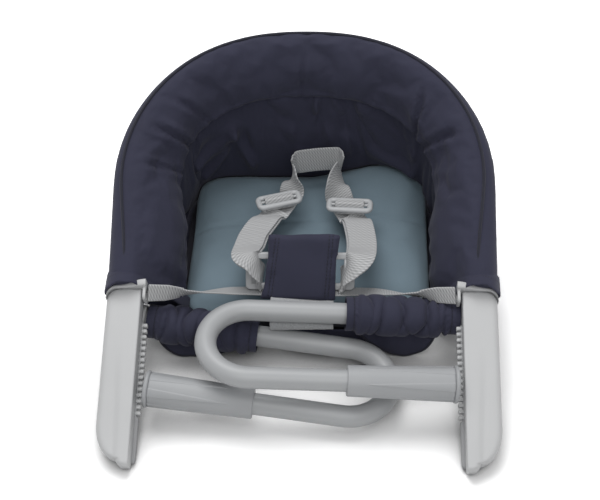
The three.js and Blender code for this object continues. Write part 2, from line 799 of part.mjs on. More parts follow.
// A closed outline of the seat base, drawn in by inset, with its corners rounded.
function baseOutline(inset, z, drawIn) {
  const count = 40;
  const halfX = BASE_HALF_WIDTH - inset;
  const halfY = (BASE_BACK - BASE_FRONT) / 2 - inset;
  const midY = (BASE_BACK + BASE_FRONT) / 2;
  return Array.from({ length: count }, (_, k) => {
    const angle = (2 * Math.PI * k) / count;
    const c = Math.cos(angle);
    const s = Math.sin(angle);
    const pull = drawIn * Math.cos(2 * angle) ** 2;
    const x = (halfX - pull) * Math.sign(c) * Math.abs(c) ** (2 / BASE_POWER);
    const y = (halfY - pull) * Math.sign(s) * Math.abs(s) ** (2 / BASE_POWER);
    return vec(x, midY + y, z);
  });
}

function baseCover() {
  const rings = [
    baseOutline(BASE_THICK / 2, 0, 0),
    baseOutline(0, BASE_THICK / 2, 0),
    baseOutline(0, BASE_THICK, 0),
  ];
  return mesh("base_cover", loft(rings), "navyCloth");
}

function seatBoard() {
  const rings = [0, BOARD_THICK].map((z) => baseOutline(BOARD_INSET, BOARD_BOTTOM + z, 0));
  return mesh("seat_board", loft(rings), "board");
}

function raiseRear(ring, share) {
  const middle = (BASE_FRONT + BASE_BACK) / 2;
  for (const point of ring) point.z += share * CUSHION_REAR_RISE * smoothstep(point.y, middle, BASE_BACK);
  return ring;
}

function seatCushion() {
  const inset = CUSHION_INSET + PANEL_THICK;
  const edgeTop = CUSHION_BOTTOM + CUSHION_EDGE;
  const crown = (share) => edgeTop + CUSHION_CROWN * share;
  const halfWidth = BASE_HALF_WIDTH - inset;
  const rings = [
    baseOutline(inset + 3, CUSHION_BOTTOM, CUSHION_DRAW_IN),
    baseOutline(inset, CUSHION_BOTTOM + CUSHION_EDGE * 0.35, CUSHION_DRAW_IN),
    raiseRear(baseOutline(inset, CUSHION_BOTTOM + CUSHION_EDGE * 0.75, CUSHION_DRAW_IN), 0.7),
    raiseRear(baseOutline(inset + halfWidth * 0.05, crown(0.15), CUSHION_DRAW_IN), 1),
    raiseRear(baseOutline(inset + halfWidth * 0.15, crown(0.45), CUSHION_DRAW_IN / 2), 1),
    raiseRear(baseOutline(inset + halfWidth * 0.35, crown(0.75), 0), 1),
    raiseRear(baseOutline(inset + halfWidth * 0.6, crown(0.95), 0), 1),
    raiseRear(baseOutline(inset + halfWidth * 0.75, crown(1), 0), 1),
  ];
  return mesh("seat_cushion", loft(rings), "tealCloth");
}

// The apron hangs in front of the base, with a full lobe under each sock.
function lobe(x) {
  const centre = x < 0 ? -APRON_LOBE_LEFT : APRON_LOBE_RIGHT;
  const away = Math.abs(x - centre) / APRON_LOBE_HALF;
  return away < 1 ? Math.cos((away * Math.PI) / 2) ** 2 : 0;
}

function frontApron() {
  const steps = 44;
  const rings = Array.from({ length: steps + 1 }, (_, i) => {
    const x = lerp(-APRON_HALF_WIDTH, APRON_HALF_WIDTH, i / steps);
    const full = lobe(x);
    const bottom = APRON_MIDDLE_LIFT * (1 - full);
    const middle = (bottom + APRON_HEIGHT) / 2;
    const back = BASE_FRONT - FIT;
    const belly = back - APRON_THICK - APRON_LOBE_BULGE * full;
    const hem = back - APRON_THICK - APRON_LOBE_BULGE * 0.6 * full;
    const top = back - APRON_THICK - APRON_LOBE_BULGE * 0.4 * full;
    return [
      vec(x, back, bottom),
      vec(x, hem, bottom),
      vec(x, belly, lerp(bottom, middle, 0.6)),
      vec(x, belly, lerp(middle, APRON_HEIGHT, 0.4)),
      vec(x, top, APRON_HEIGHT),
      vec(x, back, APRON_HEIGHT),
    ];
  });
  return mesh("front_apron", loft(rings), "navyCloth");
}

// Webbing along points, each with the direction of its width
function webbing(stops, width, thick, steps) {
  const line = new THREE.CatmullRomCurve3(stops.map((stop) => stop.at), false, "centripetal");
  const rings = Array.from({ length: steps + 1 }, (_, i) => {
    const share = line.getUtoTmapping(i / steps);
    const point = line.getPoint(share);
    const along = line.getTangent(share);
    const place = share * (stops.length - 1);
    const before = Math.min(Math.floor(place), stops.length - 2);
    const across = stops[before].across.clone().lerp(stops[before + 1].across, place - before);
    across.addScaledVector(along, -across.dot(along)).normalize();
    const out = across.clone().cross(along).normalize();
    const corner = (a, b) =>
      point.clone().addScaledVector(across, (a * width) / 2).addScaledVector(out, (b * thick) / 2);
    return [corner(-1, -1), corner(1, -1), corner(1, 1), corner(-1, 1)];
  });
  return loft(rings);
}

// The crotch pad's frame: x across, y up the slope, z out towards the front
function rightRail(x) {
  const rail = vec(0, 0, 0).setFromMatrixPosition(clampMatrix(SIDES[1]));
  const run = rail.x - x;
  return vec(x, rail.y - run * Math.tan(CLAMP_YAW_RIGHT), rail.z + run * Math.tan(CLAMP_RISE_RIGHT));
}

function crotchFrame() {
  const group = new THREE.Group();
  group.position.set(0, CROTCH_Y, rightRail(0).z + CROTCH_RISE);
  group.rotation.x = CROTCH_LEAN;
  group.updateMatrix();
  return group;
}

function crotchPad() {
  const stations = [0, 0.08, 0.5, 0.92, 1];
  const halfWidth = CROTCH_PAD_WIDTH / 2;
  const outline = (half, thick, y) => [
    vec(-half, y, 0),
    vec(-half * 0.92, y, thick * 0.8),
    vec(-half * 0.5, y, thick),
    vec(half * 0.5, y, thick),
    vec(half * 0.92, y, thick * 0.8),
    vec(half, y, 0),
    vec(half * 0.92, y, -thick * 0.8),
    vec(half * 0.5, y, -thick),
    vec(-half * 0.5, y, -thick),
    vec(-half * 0.92, y, -thick * 0.8),
  ];
  const outer = stations.map((share) => {
    const full = lerp(0.7, 1, Math.sin(Math.PI * share));
    return outline(halfWidth, (CROTCH_PAD_THICK / 2) * full, CROTCH_PAD_LENGTH * share);
  });
  const pocket = CROTCH_STRAP_WIDTH / 2 / 0.92 + SOFT_FIT;
  const pocketThick = (CROTCH_STRAP_THICK / 2 + 2 * SOFT_FIT) / 0.8;
  const inner = stations.map((share) => outline(pocket, pocketThick, CROTCH_PAD_LENGTH * share));
  return mesh("crotch_pad", sleeve(outer, inner), "navyCloth");
}

// The strap comes down from the pad, behind the right bar and under it.
function crotchStrap(frame) {
  const rail = rightRail(0);
  const lean = Math.hypot(Math.tan(CLAMP_RISE_RIGHT), Math.tan(CLAMP_YAW_RIGHT));
  const slack = (CROTCH_STRAP_WIDTH / 2) * lean + 2 * SOFT_FIT;
  const wrap = TUBE_RADIUS + CROTCH_STRAP_THICK / 2 + slack;
  const round = (angle) =>
    vec(0, wrap * Math.cos(angle * DEG), wrap * Math.sin(angle * DEG)).add(rail);
  const places = [
    vec(0, CROTCH_STRAP_INSERT, 0).applyMatrix4(frame.matrix),
    vec(0, CROTCH_STRAP_INSERT / 2, 0).applyMatrix4(frame.matrix),
    vec(0, 0, 0).applyMatrix4(frame.matrix),
    ...WRAP_ANGLES.map(round),
  ];
  const stops = places.map((at) => ({ at, across: sideways }));
  const band = webbing(stops, CROTCH_STRAP_WIDTH, CROTCH_STRAP_THICK, 18);
  return mesh("crotch_strap", band, "webbing");
}

// Buckle pieces, in the crotch pad's frame
const buckleZ = -CROTCH_PAD_THICK / 2 - BUCKLE_GAP - BUCKLE_THICK / 2;

function buckleBody() {
  const half = vec(BUCKLE_WIDTH / 2, BUCKLE_HEIGHT / 2, BUCKLE_THICK / 2);
  const centre = vec(0, BUCKLE_UP, buckleZ);
  const body = boxBetween(centre.clone().sub(half), centre.clone().add(half));
  const cavity = vec(BUCKLE_WIDTH, TONGUE_HEIGHT / 2 + FIT, TONGUE_THICK / 2 + FIT);
  const tunnel = boxBetween(centre.clone().sub(cavity), centre.clone().add(cavity));
  const hole = boxBetween(
    centre.clone().add(vec(-BUTTON_WIDTH / 2 - FIT, -BUTTON_HEIGHT / 2 - FIT, 0)),
    centre.clone().add(vec(BUTTON_WIDTH / 2 + FIT, BUTTON_HEIGHT / 2 + FIT, BUCKLE_THICK)),
  );
  return mesh("buckle_body", carve([body], [tunnel, hole]), "bucklePlastic");
}

function buckleButton() {
  const top = buckleZ + BUCKLE_THICK / 2 + BUTTON_PROUD;
  const button = boxBetween(
    vec(-BUTTON_WIDTH / 2, BUCKLE_UP - BUTTON_HEIGHT / 2, top - BUTTON_DEPTH),
    vec(BUTTON_WIDTH / 2, BUCKLE_UP + BUTTON_HEIGHT / 2, top),
  );
  return mesh("buckle_button", button, "bucklePlastic");
}

const clipInner = BUCKLE_WIDTH / 2 + FIT;
const clipOuter = clipInner + CLIP_WIDTH;

function buckleClip(side) {
  const low = vec(clipInner, BUCKLE_UP - CLIP_HEIGHT / 2, buckleZ - CLIP_THICK / 2);
  const high = vec(clipOuter, BUCKLE_UP + CLIP_HEIGHT / 2, buckleZ + CLIP_THICK / 2);
  const frame = boxBetween(low, high);
  const window = boxBetween(
    vec(clipInner + 2 * CLIP_BAR, low.y + CLIP_BAR, low.z - CLIP_BAR),
    vec(clipOuter - CLIP_BAR, high.y - CLIP_BAR, high.z + CLIP_BAR),
  );
  const tongue = boxBetween(
    vec(clipInner - TONGUE_LENGTH, BUCKLE_UP - TONGUE_HEIGHT / 2, buckleZ - TONGUE_THICK / 2),
    vec(clipInner + CLIP_BAR, BUCKLE_UP + TONGUE_HEIGHT / 2, buckleZ + TONGUE_THICK / 2),
  );
  const clip = carve([frame, tongue], [window]);
  clip.scale(side.sign, 1, 1);
  return mesh(`${side.name}_buckle_clip`, orient(clip), "bucklePlastic");
}

// The waist belt runs from the ear's slot to the underside of the clip.
function waistBelt(side, arm, crotch) {
  const slotY = EAR_BEHIND - EAR_LENGTH / 2;
  const slotZ = ANCHOR_RISE - ANCHOR_HEIGHT / 2;
  const start = vec(-EAR_OFFSET - EAR_THICK - SOFT_FIT - WEB_HALF, slotY, slotZ).applyMatrix4(arm.matrix);
  const below = BUCKLE_UP - CLIP_HEIGHT / 2 - BELT_BELOW;
  const underClip = (x) => vec(side.sign * x, below, buckleZ).applyMatrix4(crotch.matrix);
  const upright = vec(0, -Math.cos(CROTCH_LEAN), Math.sin(CROTCH_LEAN));
  const shelf = vec(0, -Math.sin(BELT_TURN), Math.cos(BELT_TURN)).transformDirection(crotch.matrix);
  const inward = vec(-side.sign, 0, 0);
  const sag = start.clone().lerp(underClip(clipOuter), 0.45).add(vec(0, 0, -BELT_SAG));
  const stops = [
    { at: start.clone().addScaledVector(inward, 2.5 * WEB_THICK), across: upright },
    { at: sag, across: shelf },
    { at: underClip(clipOuter + 4 * CLIP_BAR), across: shelf },
    { at: underClip(clipOuter), across: shelf },
    { at: underClip(clipInner + CLIP_WIDTH / 2), across: shelf },
  ];
  return mesh(`${side.name}_waist_belt`, webbing(stops, BELT_WIDTH, WEB_THICK, 24), "webbing");
}

// Shoulder straps, through the sliders, from the clips to the neck strap
const STRAP_ROUTE = {
  left: { bow: vec(-LEFT_BOW_X, BOW_Y, BOW_Z), slider: vec(-LEFT_SLIDER_X, SLIDER_Y, SLIDER_Z) },
  right: { bow: vec(RIGHT_BOW_X, BOW_Y, BOW_Z), slider: vec(RIGHT_SLIDER_X, SLIDER_Y, SLIDER_Z) },
};
const upward = vec(0, 0, 1);
const neckCentre = vec(NECK_X, BASE_BACK - NECK_AHEAD, NECK_HEIGHT);

function neckEnd(side) {
  const reach = NECK_LENGTH / 2 - WEB_WIDTH / 2;
  const below = WEB_WIDTH / 2 + NECK_SEAM;
  return neckCentre.clone().addScaledVector(sideways, side.sign * reach).addScaledVector(upward, -below);
}

function strapAlong(side) {
  return neckEnd(side).sub(STRAP_ROUTE[side.name].slider).setX(0).normalize();
}

function shoulderStrap(side, crotch) {
  const route = STRAP_ROUTE[side.name];
  const along = strapAlong(side);
  const front = buckleZ + CLIP_THICK / 2 + SOFT_FIT + WEB_HALF;
  const clipX = side.sign * ((clipInner + clipOuter) / 2);
  const onClip = (y) => vec(clipX, y, front).applyMatrix4(crotch.matrix);
  const reach = SLIDER_LENGTH / 2 + SLIDER_TRAVEL;
  const straight = [-1.5, -1, 0, 1, 1.5].map((share) =>
    route.slider.clone().addScaledVector(along, share * reach),
  );
  const places = [
    onClip(BUCKLE_UP + CLIP_HEIGHT / 2 - CLIP_BAR),
    onClip(BUCKLE_UP + CLIP_HEIGHT / 2 + 2 * CLIP_BAR),
    route.bow,
    ...straight,
    neckEnd(side),
  ];
  const stops = places.map((at) => ({ at, across: sideways }));
  return mesh(`${side.name}_shoulder_strap`, webbing(stops, WEB_WIDTH, WEB_THICK, 30), "webbing");
}

function strapSlider(side) {
  const route = STRAP_ROUTE[side.name];
  const along = strapAlong(side);
  const out = sideways.clone().cross(along).normalize();
  const ring = (half, thick, share) =>
    [[-1, -1], [1, -1], [1, 1], [-1, 1]].map(([a, b]) =>
      route.slider
        .clone()
        .addScaledVector(sideways, a * half)
        .addScaledVector(out, b * thick)
        .addScaledVector(along, share * SLIDER_LENGTH),
    );
  const ends = [-0.5, 0.5];
  const outer = ends.map((share) => ring(SLIDER_WIDTH / 2, SLIDER_THICK / 2, share));
  const inner = ends.map((share) => ring(WEB_WIDTH / 2 + 2 * SOFT_FIT, WEB_HALF + 2 * SOFT_FIT, share));
  return mesh(`${side.name}_strap_slider`, sleeve(outer, inner), "bucklePlastic");
}

function neckStrap() {
  const half = NECK_LENGTH / 2;
  const stops = [-1, 0, 1].map((share) => ({
    at: neckCentre.clone().addScaledVector(sideways, share * half),
    across: upward,
  }));
  return mesh("neck_strap", webbing(stops, WEB_WIDTH, WEB_THICK, 4), "webbing");
}

// The whole chair
const chair = new THREE.Group();
const crotch = crotchFrame();
for (const side of SIDES) {
  const arm = armFrame(side);
  arm.add(armShell(side, arm), tablePad(side), beltAnchor(side), hoopScrew(side));
  const clamp = clampFrame(side);
  clamp.add(clampTube(side), pivotBush(side), pivotCap(side));
  clamp.add(gripSleeve(side), gripCap(side), sock(side));
  crotch.add(buckleClip(side));
  chair.add(arm, clamp, waistBelt(side, arm, crotch), shoulderStrap(side, crotch), strapSlider(side));
}
crotch.add(crotchPad(), buckleBody(), buckleButton());
chair.add(hoopTube(), rimPad(), backPanel(), baseCover(), seatBoard(), seatCushion(), frontApron());
chair.add(crotch, crotchStrap(crotch), neckStrap());

// The origin is below the middle of the whole chair, on the floor.
chair.updateMatrixWorld(true);
const bounds = new THREE.Box3().setFromObject(chair, true);
const middle = bounds.getCenter(vec(0, 0, 0));
chair.position.set(-middle.x, -middle.y, -bounds.min.z);

export default chair;
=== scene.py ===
"""A fabric hook-on table chair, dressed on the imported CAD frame. Sizes are in millimetres until placed."""

import json
import math

import bmesh
import bpy
import numpy as np
from mathutils import Matrix, Vector
from mathutils.kdtree import KDTree

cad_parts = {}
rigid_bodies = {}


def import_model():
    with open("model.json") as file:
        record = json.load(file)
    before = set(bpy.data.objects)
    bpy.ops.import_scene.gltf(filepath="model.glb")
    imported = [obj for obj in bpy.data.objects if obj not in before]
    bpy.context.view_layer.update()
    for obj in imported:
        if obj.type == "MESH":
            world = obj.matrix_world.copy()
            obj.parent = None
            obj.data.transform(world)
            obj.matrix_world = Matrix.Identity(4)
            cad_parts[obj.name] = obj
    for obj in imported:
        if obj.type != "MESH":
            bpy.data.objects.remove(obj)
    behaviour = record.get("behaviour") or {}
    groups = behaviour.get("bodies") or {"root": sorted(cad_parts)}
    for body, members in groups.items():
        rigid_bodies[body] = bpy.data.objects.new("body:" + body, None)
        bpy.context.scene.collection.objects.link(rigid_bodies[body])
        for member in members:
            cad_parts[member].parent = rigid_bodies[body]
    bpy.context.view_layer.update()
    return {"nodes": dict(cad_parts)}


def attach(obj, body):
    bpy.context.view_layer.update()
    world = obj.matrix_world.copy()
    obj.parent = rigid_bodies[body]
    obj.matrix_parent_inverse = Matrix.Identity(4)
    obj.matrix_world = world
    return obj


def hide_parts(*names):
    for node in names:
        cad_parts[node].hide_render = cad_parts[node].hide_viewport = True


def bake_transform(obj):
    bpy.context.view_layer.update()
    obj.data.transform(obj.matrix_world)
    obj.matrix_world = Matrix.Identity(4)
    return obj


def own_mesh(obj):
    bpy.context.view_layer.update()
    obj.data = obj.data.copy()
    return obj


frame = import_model()

MM = 0.001
SHIFT_Y = -41.281
SIDES = (("left", -1), ("right", 1))
CLOTH_THICK = 1.4
FLAP_THICK = 1.6
PANEL_THICK = 2

# Arms
ARM_SLOPE = math.radians(22)
ARM_HALF_GAP = 164
ARM_WIDTH = 36
ARM_LENGTH = 183
ARM_HEIGHT = 20
ARM_REAR_ROUND = 11
ARM_INNER = 0.2
ARM_TOP_POINTS = 22
ARM_TIP_START = 138
ARM_TIP_NOTCH = 176
ARM_TIP_CUT = 22
ARM_TIP_POWER = 2.2
ARM_TIP_HOOK = 5
ARM_TIP_ROUND = 6
ARM_TIP_DRAW = 1.2
ARM_EDGE_INNER = 1.8
ARM_EDGE_OUTER = 6.5
VALLEY_DEPTH = 1.7
VALLEY_WIDTH = 3.2
VALLEY_FADE = (45, 120)
VALLEY_AT = (0.58, 0.46)
VALLEY_BEND = (60, 178)
OUTER_FALL = 1.3
LIP_LOW = -12
LIP_TOP = 1.2
LIP_RISE = 8.3
LIP_DEEP = 3.4
LIP_DEEPER = 4
WEB_LEVELS = ((-12, 15), (-19, 14.5), (-24, 12))
PAD_END = 178
RACK_START = 30
RACK_PITCH = 6.2
RACK_TEETH = 16
RACK_TOOTH = ((-5.2, 0.6), (-4.9, 0.9), (-4.2, 1), (3, 1))
RACK_TOOTH_HALF = 3.4
RACK_HEIGHT = -22.6
PAD_DEPTH = 25
PAD_OUTER = 30
PAD_BOTTOM = -24.4
PAD_END_ROUND = 7
PAD_TAPER_FROM = 150
SCREW_Y = -12
SCREW_PROFILE = (
    (26.5, 1.4), (26.5, 2), (35.2, 2), (35.3, 3.6), (36.0, 3.4), (36.3, 2.4), (36.3, 1.2), (35.2, 1.0),
)
ARM_TOP = PAD_END * math.sin(ARM_SLOPE) + PAD_DEPTH * math.cos(ARM_SLOPE)

# Clamp bars
TUBE_RADIUS = 11
LEG_SPACING = 88
CLAMP_REACH = 272
PIVOT_Y = -3
PIVOT_DROP = {"left": 42, "right": 33.5}
CLAMP_RISE = {"left": -math.tan(math.radians(5.2)), "right": math.tan(math.radians(5))}
CLAMP_YAW = {"left": math.tan(math.radians(5)), "right": math.tan(math.radians(2.4))}
FLANGE_X = {"left": 17, "right": 10}
FLANGE_THICK = 5
FLANGE_PROFILE = (
    (0.1, 0.3), (0, 12), (0.2, 16), (0.9, 18), (2.2, 18.9), (3.6, 18.7), (4.6, 18), (5, 17.2), (5, 12),
)
GRIP_LENGTH = 105
GRIP_GAP = 0.3
GRIP_BASE = 16.9
GRIP_TAPER = 1.5
GRIP_RIBS = 6
GRIP_RIB_TURN = 0.35
GRIP_RIB_HALF = 4.6
GRIP_RIB_HIGH = 0.75
GRIP_RIB_END = 0.86
GRIP_MOUTH = 0.67
HUB_LENGTH = 32
HUB_PROFILE = (
    (-HUB_LENGTH, 14), (-HUB_LENGTH, 15.4), (-HUB_LENGTH + 0.8, 16), (-1.2, 16), (-0.5, 15.4), (-0.5, 13.4),
)
END_CAP_PROFILE = ((-32.3, 9), (-32.3, 12.5), (-34, 12.5), (-35.4, 11.6), (-35.9, 10), (-35.9, 4), (-35.5, 0.3))
BUSH_PROFILE = ((-31.7, 11.4), (-31.7, 13), (-0.3, 13), (0.2, 12.4), (0.2, 11.4))

# Hoop and padded rim
HOOP_HALF_WIDTH = 182
HOOP_STRAIGHT = 95
HOOP_BACK = 235
HOOP_POWER = 2.3
HOOP_SLOPE = math.radians(32)
HOOP_DEPTH = 11
RIM_START = 12.5
RIM_HEAD = 17
RIM_CROWN = 17
RIM_TILT_SIDE = 53.5
RIM_TILT_BACK = 74
RIM_TILT_SLACK = 4
RIM_LENGTH_SIDE = 85
RIM_LENGTH_BACK = 60
PUFF = 1.5
RIM_FULLER = 3.5
RIM_FULL_SPAN = (110, 200)
RIM_COUNT = 220
RIM_HEAD_ANGLES = (95, 125, 155, 185, 215, 245)
PIPING_ANGLES = (140, 165)
PIPING_TURN = (10, 110)
PIPING_RADIUS = 1.5
HEM_BACK = 9
HEM_WRAP = 6
HEM_LIP = ((0.99, 0.85), (0.975, 0.4), (0.94, 0.3), (0.82, 0.25), (0.66, 0.25))
# Each crease: its place along the rim, width, depth and lean
RIM_CREASES = (
    (0.195, 0.005, 2.6, -0.01),
    (0.25, 0.006, 4.2, -0.012),
    (0.315, 0.006, 3.0, -0.03),
    (0.49, 0.004, 2.4, 0.01),
    (0.735, 0.006, 3.6, -0.05),
    (0.75, 0.006, 3.6, 0.02),
)
PANEL_START = 18
PANEL_DROP = 75
PANEL_FOOT = 7.5
PANEL_GAP = 2.5
# Each fold: where it starts and ends (across in mm, share of the drop), its height and its width
PANEL_FOLDS = (
    (-118, 0.16, -15, 0.3, 11, 7), (-122, 0.42, -84, 0.26, 13, 4), (-84, 0.26, -62, 0.6, 11, 4),
    (-112, 0.62, -92, 0.42, 10, 4), (-40, 0.02, 30, 0.16, 8, 6), (14, 0.0, 8, 0.2, 8, 3),
    (26, 0.0, 40, 0.14, 7, 3), (20, 0.3, 118, 0.52, 12, 6), (60, 0.08, 120, 0.3, 10, 6),
    (-10, 0.5, 45, 0.42, 9, 6),
)

# Seat base
BASE_HALF_WIDTH = 147
BASE_FRONT = 12
BASE_BACK = 246
BASE_COVER_LEVELS = ((60, 0.0), (6, 0.0), (2.5, 0.6), (0.6, 2), (0, 4), (0.8, 5.8), (30, 6.0))
BOARD_LEVELS = ((40, 6.3), (9, 6.3), (8, 7), (8, 10.6), (9, 11.3), (40, 11.3))
CUSHION_INSET = 5
CUSHION_SIDE_LEVELS = ((14, 11.9), (4, 12.2), (1.5, 15), (1, 18), (2, 22), (5, 25))
CUSHION_CROWN = 14
CUSHION_SEAM_Y = 152
CUSHION_SHIFT = 3
CUSHION_POWER = 6.5
CUSHION_REAR_RISE = 14
CUSHION_FLOOR = 11.8
APRON_HALF = 120
APRON_LOW = 1.4
APRON_HIGH = 20.5
# Each lobe: where it starts, hangs lowest and ends along the clamp, and how far forward its foot is
LOBES = {"left": (10, 42, 112, -16), "right": (22, 54, 112, -11)}
SOCK_SPAN = (2, 119)
SOCK_CUFF = 17
SOCK_SEAMS = (SOCK_SPAN[0] + 9, SOCK_SPAN[1] - 8)
SOCK_LOOSE = 5
SOCK_DEEPEST = 8.5
SOCK_LEAST = 14.6
SOCK_MOST = {"left": 22, "right": 22.5}
# Each crease: its place along the sock, slant, turn, depth and width
SOCK_CREASES = {
    "left": (
        (19, 3, 0.4, 5.0, 2.6), (33, 6, 1.9, 6.0, 3.0), (47, 5, 3.4, 6.0, 3.0), (58, 7, 5.0, 5.6, 2.8),
        (73, 6, 1.4, 6.0, 3.2), (86, 6, 3.0, 5.4, 3.0), (99, 4, 4.6, 5.0, 2.6),
    ),
    "right": (
        (17, 3, 2.2, 5.0, 2.2), (24, 4, 5.1, 5.6, 2.4), (32, 4, 1.0, 5.6, 2.4), (42, 6, 3.3, 6.0, 3.0),
        (55, 6, 0.5, 6.0, 3.2), (68, 7, 4.2, 5.6, 3.0), (82, 6, 2.0, 6.0, 3.2), (97, 4, 3.9, 5.0, 2.6),
    ),
}

# Harness
WEB_WIDTH = 31
WEB_THICK = 1.8
BELT_WIDTH = 19
BELT_FOLD_WIDTH = 17.5
BELT_FOLD_THICK = 1.5
CROTCH_BAND_WIDTH = 66
CROTCH_Y = 15
CROTCH_RISE = -6
CROTCH_LEAN = math.radians(55)
CROTCH_PAD_WIDTH = 76
CROTCH_PAD_LENGTH = 70
CROTCH_PAD_THICK = 3
CROTCH_PAD_HALF = CROTCH_PAD_WIDTH / 2 + 2
CROTCH_SEAMS = (8.5, 12)
BUCKLE_UP = 27
BUCKLE_Z = -12.5
CLIP_INNER = 24.3
CLIP_OUTER = 56.3
CLIP_HEIGHT = 40
CLIP_SPREAD = {"left": 4, "right": -1.5}
CLIP_RIM = 3.6
SLIDER_HALF = (26 - 3.3, 10.5 - 3)
SLIDER_SECTION = (3.3, 3)
SLIDER_CORNER = 4
SLIDER_BAR_HALF = 22
SLIDER_BAR_RADIUS = 1.7
HUMP_SHAPE = (
    (5.6, -5), (5.4, -0.5), (4.4, 3.0), (1.6, 4.4), (-1.6, 3.6), (-3.4, 0.2), (-4.6, -3.6), (-8.5, -5),
)
EAR_HALF = (10 - 1.5, 10.5 - 1.5)
EAR_AT = (-3.6, -2.7, -5)


def vec(*xyz):
    return np.array(xyz, float)


def unit(v):
    return v / np.linalg.norm(v)


def unit_rows(v):
    return v / np.linalg.norm(v, axis=1)[:, None]


def ring_angles(count):
    return np.linspace(0, 2 * math.pi, count, endpoint=False)


def bell(x, width):
    return np.exp(-((x / width) ** 2))


def smoothstep(x, low, high):
    t = np.clip((x - low) / (high - low), 0, 1)
    return t * t * (3 - 2 * t)


def lerp(a, b, t):
    return a + (b - a) * t


def ripple(*phases):
    """A soft irregular wave between about -1 and 1, from a few sines that don't share a period."""
    waves = [np.sin(phase + 1.7 * rank) / (1 + 0.6 * rank) for rank, phase in enumerate(phases)]
    return sum(waves) / 2


def placed(points):
    """Millimetres in the part's own frame to metres in the row frame."""
    moved = np.asarray(points, float).reshape(-1, 3) + (0, SHIFT_Y, 0)
    return moved * MM


def unplaced(points):
    """Metres in the row frame back to millimetres in the part's own frame."""
    return np.asarray(points) / MM - (0, SHIFT_Y, 0)


SLIDER_AT = {"left": vec(-30.5, 148, 77), "right": vec(48.5, 141, 76)}
SLIDER_TILT = {"left": math.radians(17), "right": math.radians(-3)}
NECK_CORNERS = (vec(-14, 198, 89), vec(38, 198, 95))
STRAP_RUN = {
    "left": (
        vec(-45, 36, 67), vec(-46.5, 35, 80), vec(-52, 36, 91), vec(-60, 46, 94),
        vec(-58, 67, 87), vec(-54, 89, 83), vec(-44, 114, 79),
    ),
    "right": (
        vec(42, 35, 66), vec(45, 33, 77), vec(53, 35, 88), vec(61, 45, 93),
        vec(63, 64, 87), vec(62, 86, 83), vec(58, 113, 78),
    ),
}
STRAP_WIDTHS = {
    "left": (
        vec(0.12, 0.7, -0.7), vec(0.2, 0.7, -0.65), vec(0.5, 0.5, -0.4), vec(0.95, 0.1, 0.1),
        vec(0.95, 0.15, -0.1), vec(1, 0.05, 0), vec(1, 0.05, 0),
    ),
    "right": (
        vec(0.12, -0.7, 0.7), vec(0.3, -0.65, 0.6), vec(0.6, -0.45, 0.3), vec(0.95, -0.05, -0.1),
        vec(1, 0, 0), vec(1, 0, 0), vec(1, 0, 0),
    ),
}
STRAP_LEG = {
    "left": (vec(-18, 166, 68.5), vec(-16, 177, 82), vec(-15.5, 188, 87.5)),
    "right": (vec(37.5, 159, 67), vec(33.5, 170, 82), vec(36, 188, 92)),
}
STRAP_TWIST = {"left": (0.35, 0.75, 1), "right": (0.12, 0.55, 0.95)}


def cubic_through(knots, steps):
    """Points on a smooth curve between each inner pair of knots."""
    fine = []
    for a, b, c, d in zip(knots, knots[1:], knots[2:], knots[3:]):
        for t in np.linspace(0, 1, steps, endpoint=False):
            cubic = 2 * b + (c - a) * t + (2 * a - 5 * b + 4 * c - d) * t**2 + (3 * b - a - 3 * c + d) * t**3
            fine.append(cubic / 2)
    return fine


def spline(points, count):
    """A smooth open line through the points, sampled evenly by length."""
    knots = np.asarray(points, float)
    ends = np.vstack([2 * knots[0] - knots[1], knots, 2 * knots[-1] - knots[-2]])
    return resample(np.array(cubic_through(ends, 24) + [knots[-1]]), count)


def resample(line, count):
    steps = np.linalg.norm(np.diff(line, axis=0), axis=1)
    length = np.concatenate([[0], np.cumsum(steps)])
    wanted = np.linspace(0, length[-1], count)
    return np.stack([np.interp(wanted, length, line[:, k]) for k in range(line.shape[1])], 1)


def closed_profile(points, count):
    """A smooth closed outline through the points."""
    knots = np.asarray(points, float)
    fine = cubic_through(np.vstack([knots[-1:], knots, knots[:2]]), 16)
    return resample(np.array(fine + [fine[0]]), count + 1)[:-1]


# Building meshes

def new_object(name, mesh, material, nodes=(), body="frame"):
    """A piece, with the CAD nodes it replaces and the body it rides; a piece with no body is left unattached.
    """
    obj = bpy.data.objects.new(name, mesh)
    bpy.context.scene.collection.objects.link(obj)
    mesh.materials.append(material)
    mesh.shade_smooth()
    if body:
        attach(obj, body)
    if nodes:
        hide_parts(*nodes)
    return obj


def arc_lengths(grid, axis):
    steps = np.linalg.norm(np.diff(grid, axis=axis), axis=2).mean(axis=1 - axis)
    return np.concatenate([[0], np.cumsum(steps)]) * MM


def grid_mesh(name, grid, wrap=True, caps=True, ring=False):
    """A mesh through a grid of rings (rows) and points on them (columns), with UVs in metres."""
    rows, columns = grid.shape[:2]
    mesh = bpy.data.meshes.new(name)
    faces = []
    corners = []
    looped = np.concatenate([grid, grid[:1]], axis=0) if ring else grid
    along = arc_lengths(looped, 0)
    closed = np.concatenate([grid, grid[:, :1]], axis=1) if wrap else grid
    across = arc_lengths(closed, 1)
    last = columns if wrap else columns - 1
    for i in range(rows if ring else rows - 1):
        first, second = i * columns, (i + 1) % rows * columns
        for j in range(last):
            k = (j + 1) % columns
            faces.append((first + j, first + k, second + k, second + j))
            corners += [(across[j], along[i]), (across[j + 1], along[i])]
            corners += [(across[j + 1], along[i + 1]), (across[j], along[i + 1])]
    if wrap and caps and not ring:
        for row, order in ((0, range(columns - 1, -1, -1)), (rows - 1, range(columns))):
            faces.append(tuple(row * columns + j for j in order))
            corners += [(across[j], along[row]) for j in order]
    mesh.from_pydata(placed(grid).tolist(), [], faces)
    layer = mesh.uv_layers.new(name="cloth")
    layer.data.foreach_set("uv", np.array(corners, float).ravel())
    mesh.update()
    face_outward(mesh)
    return mesh


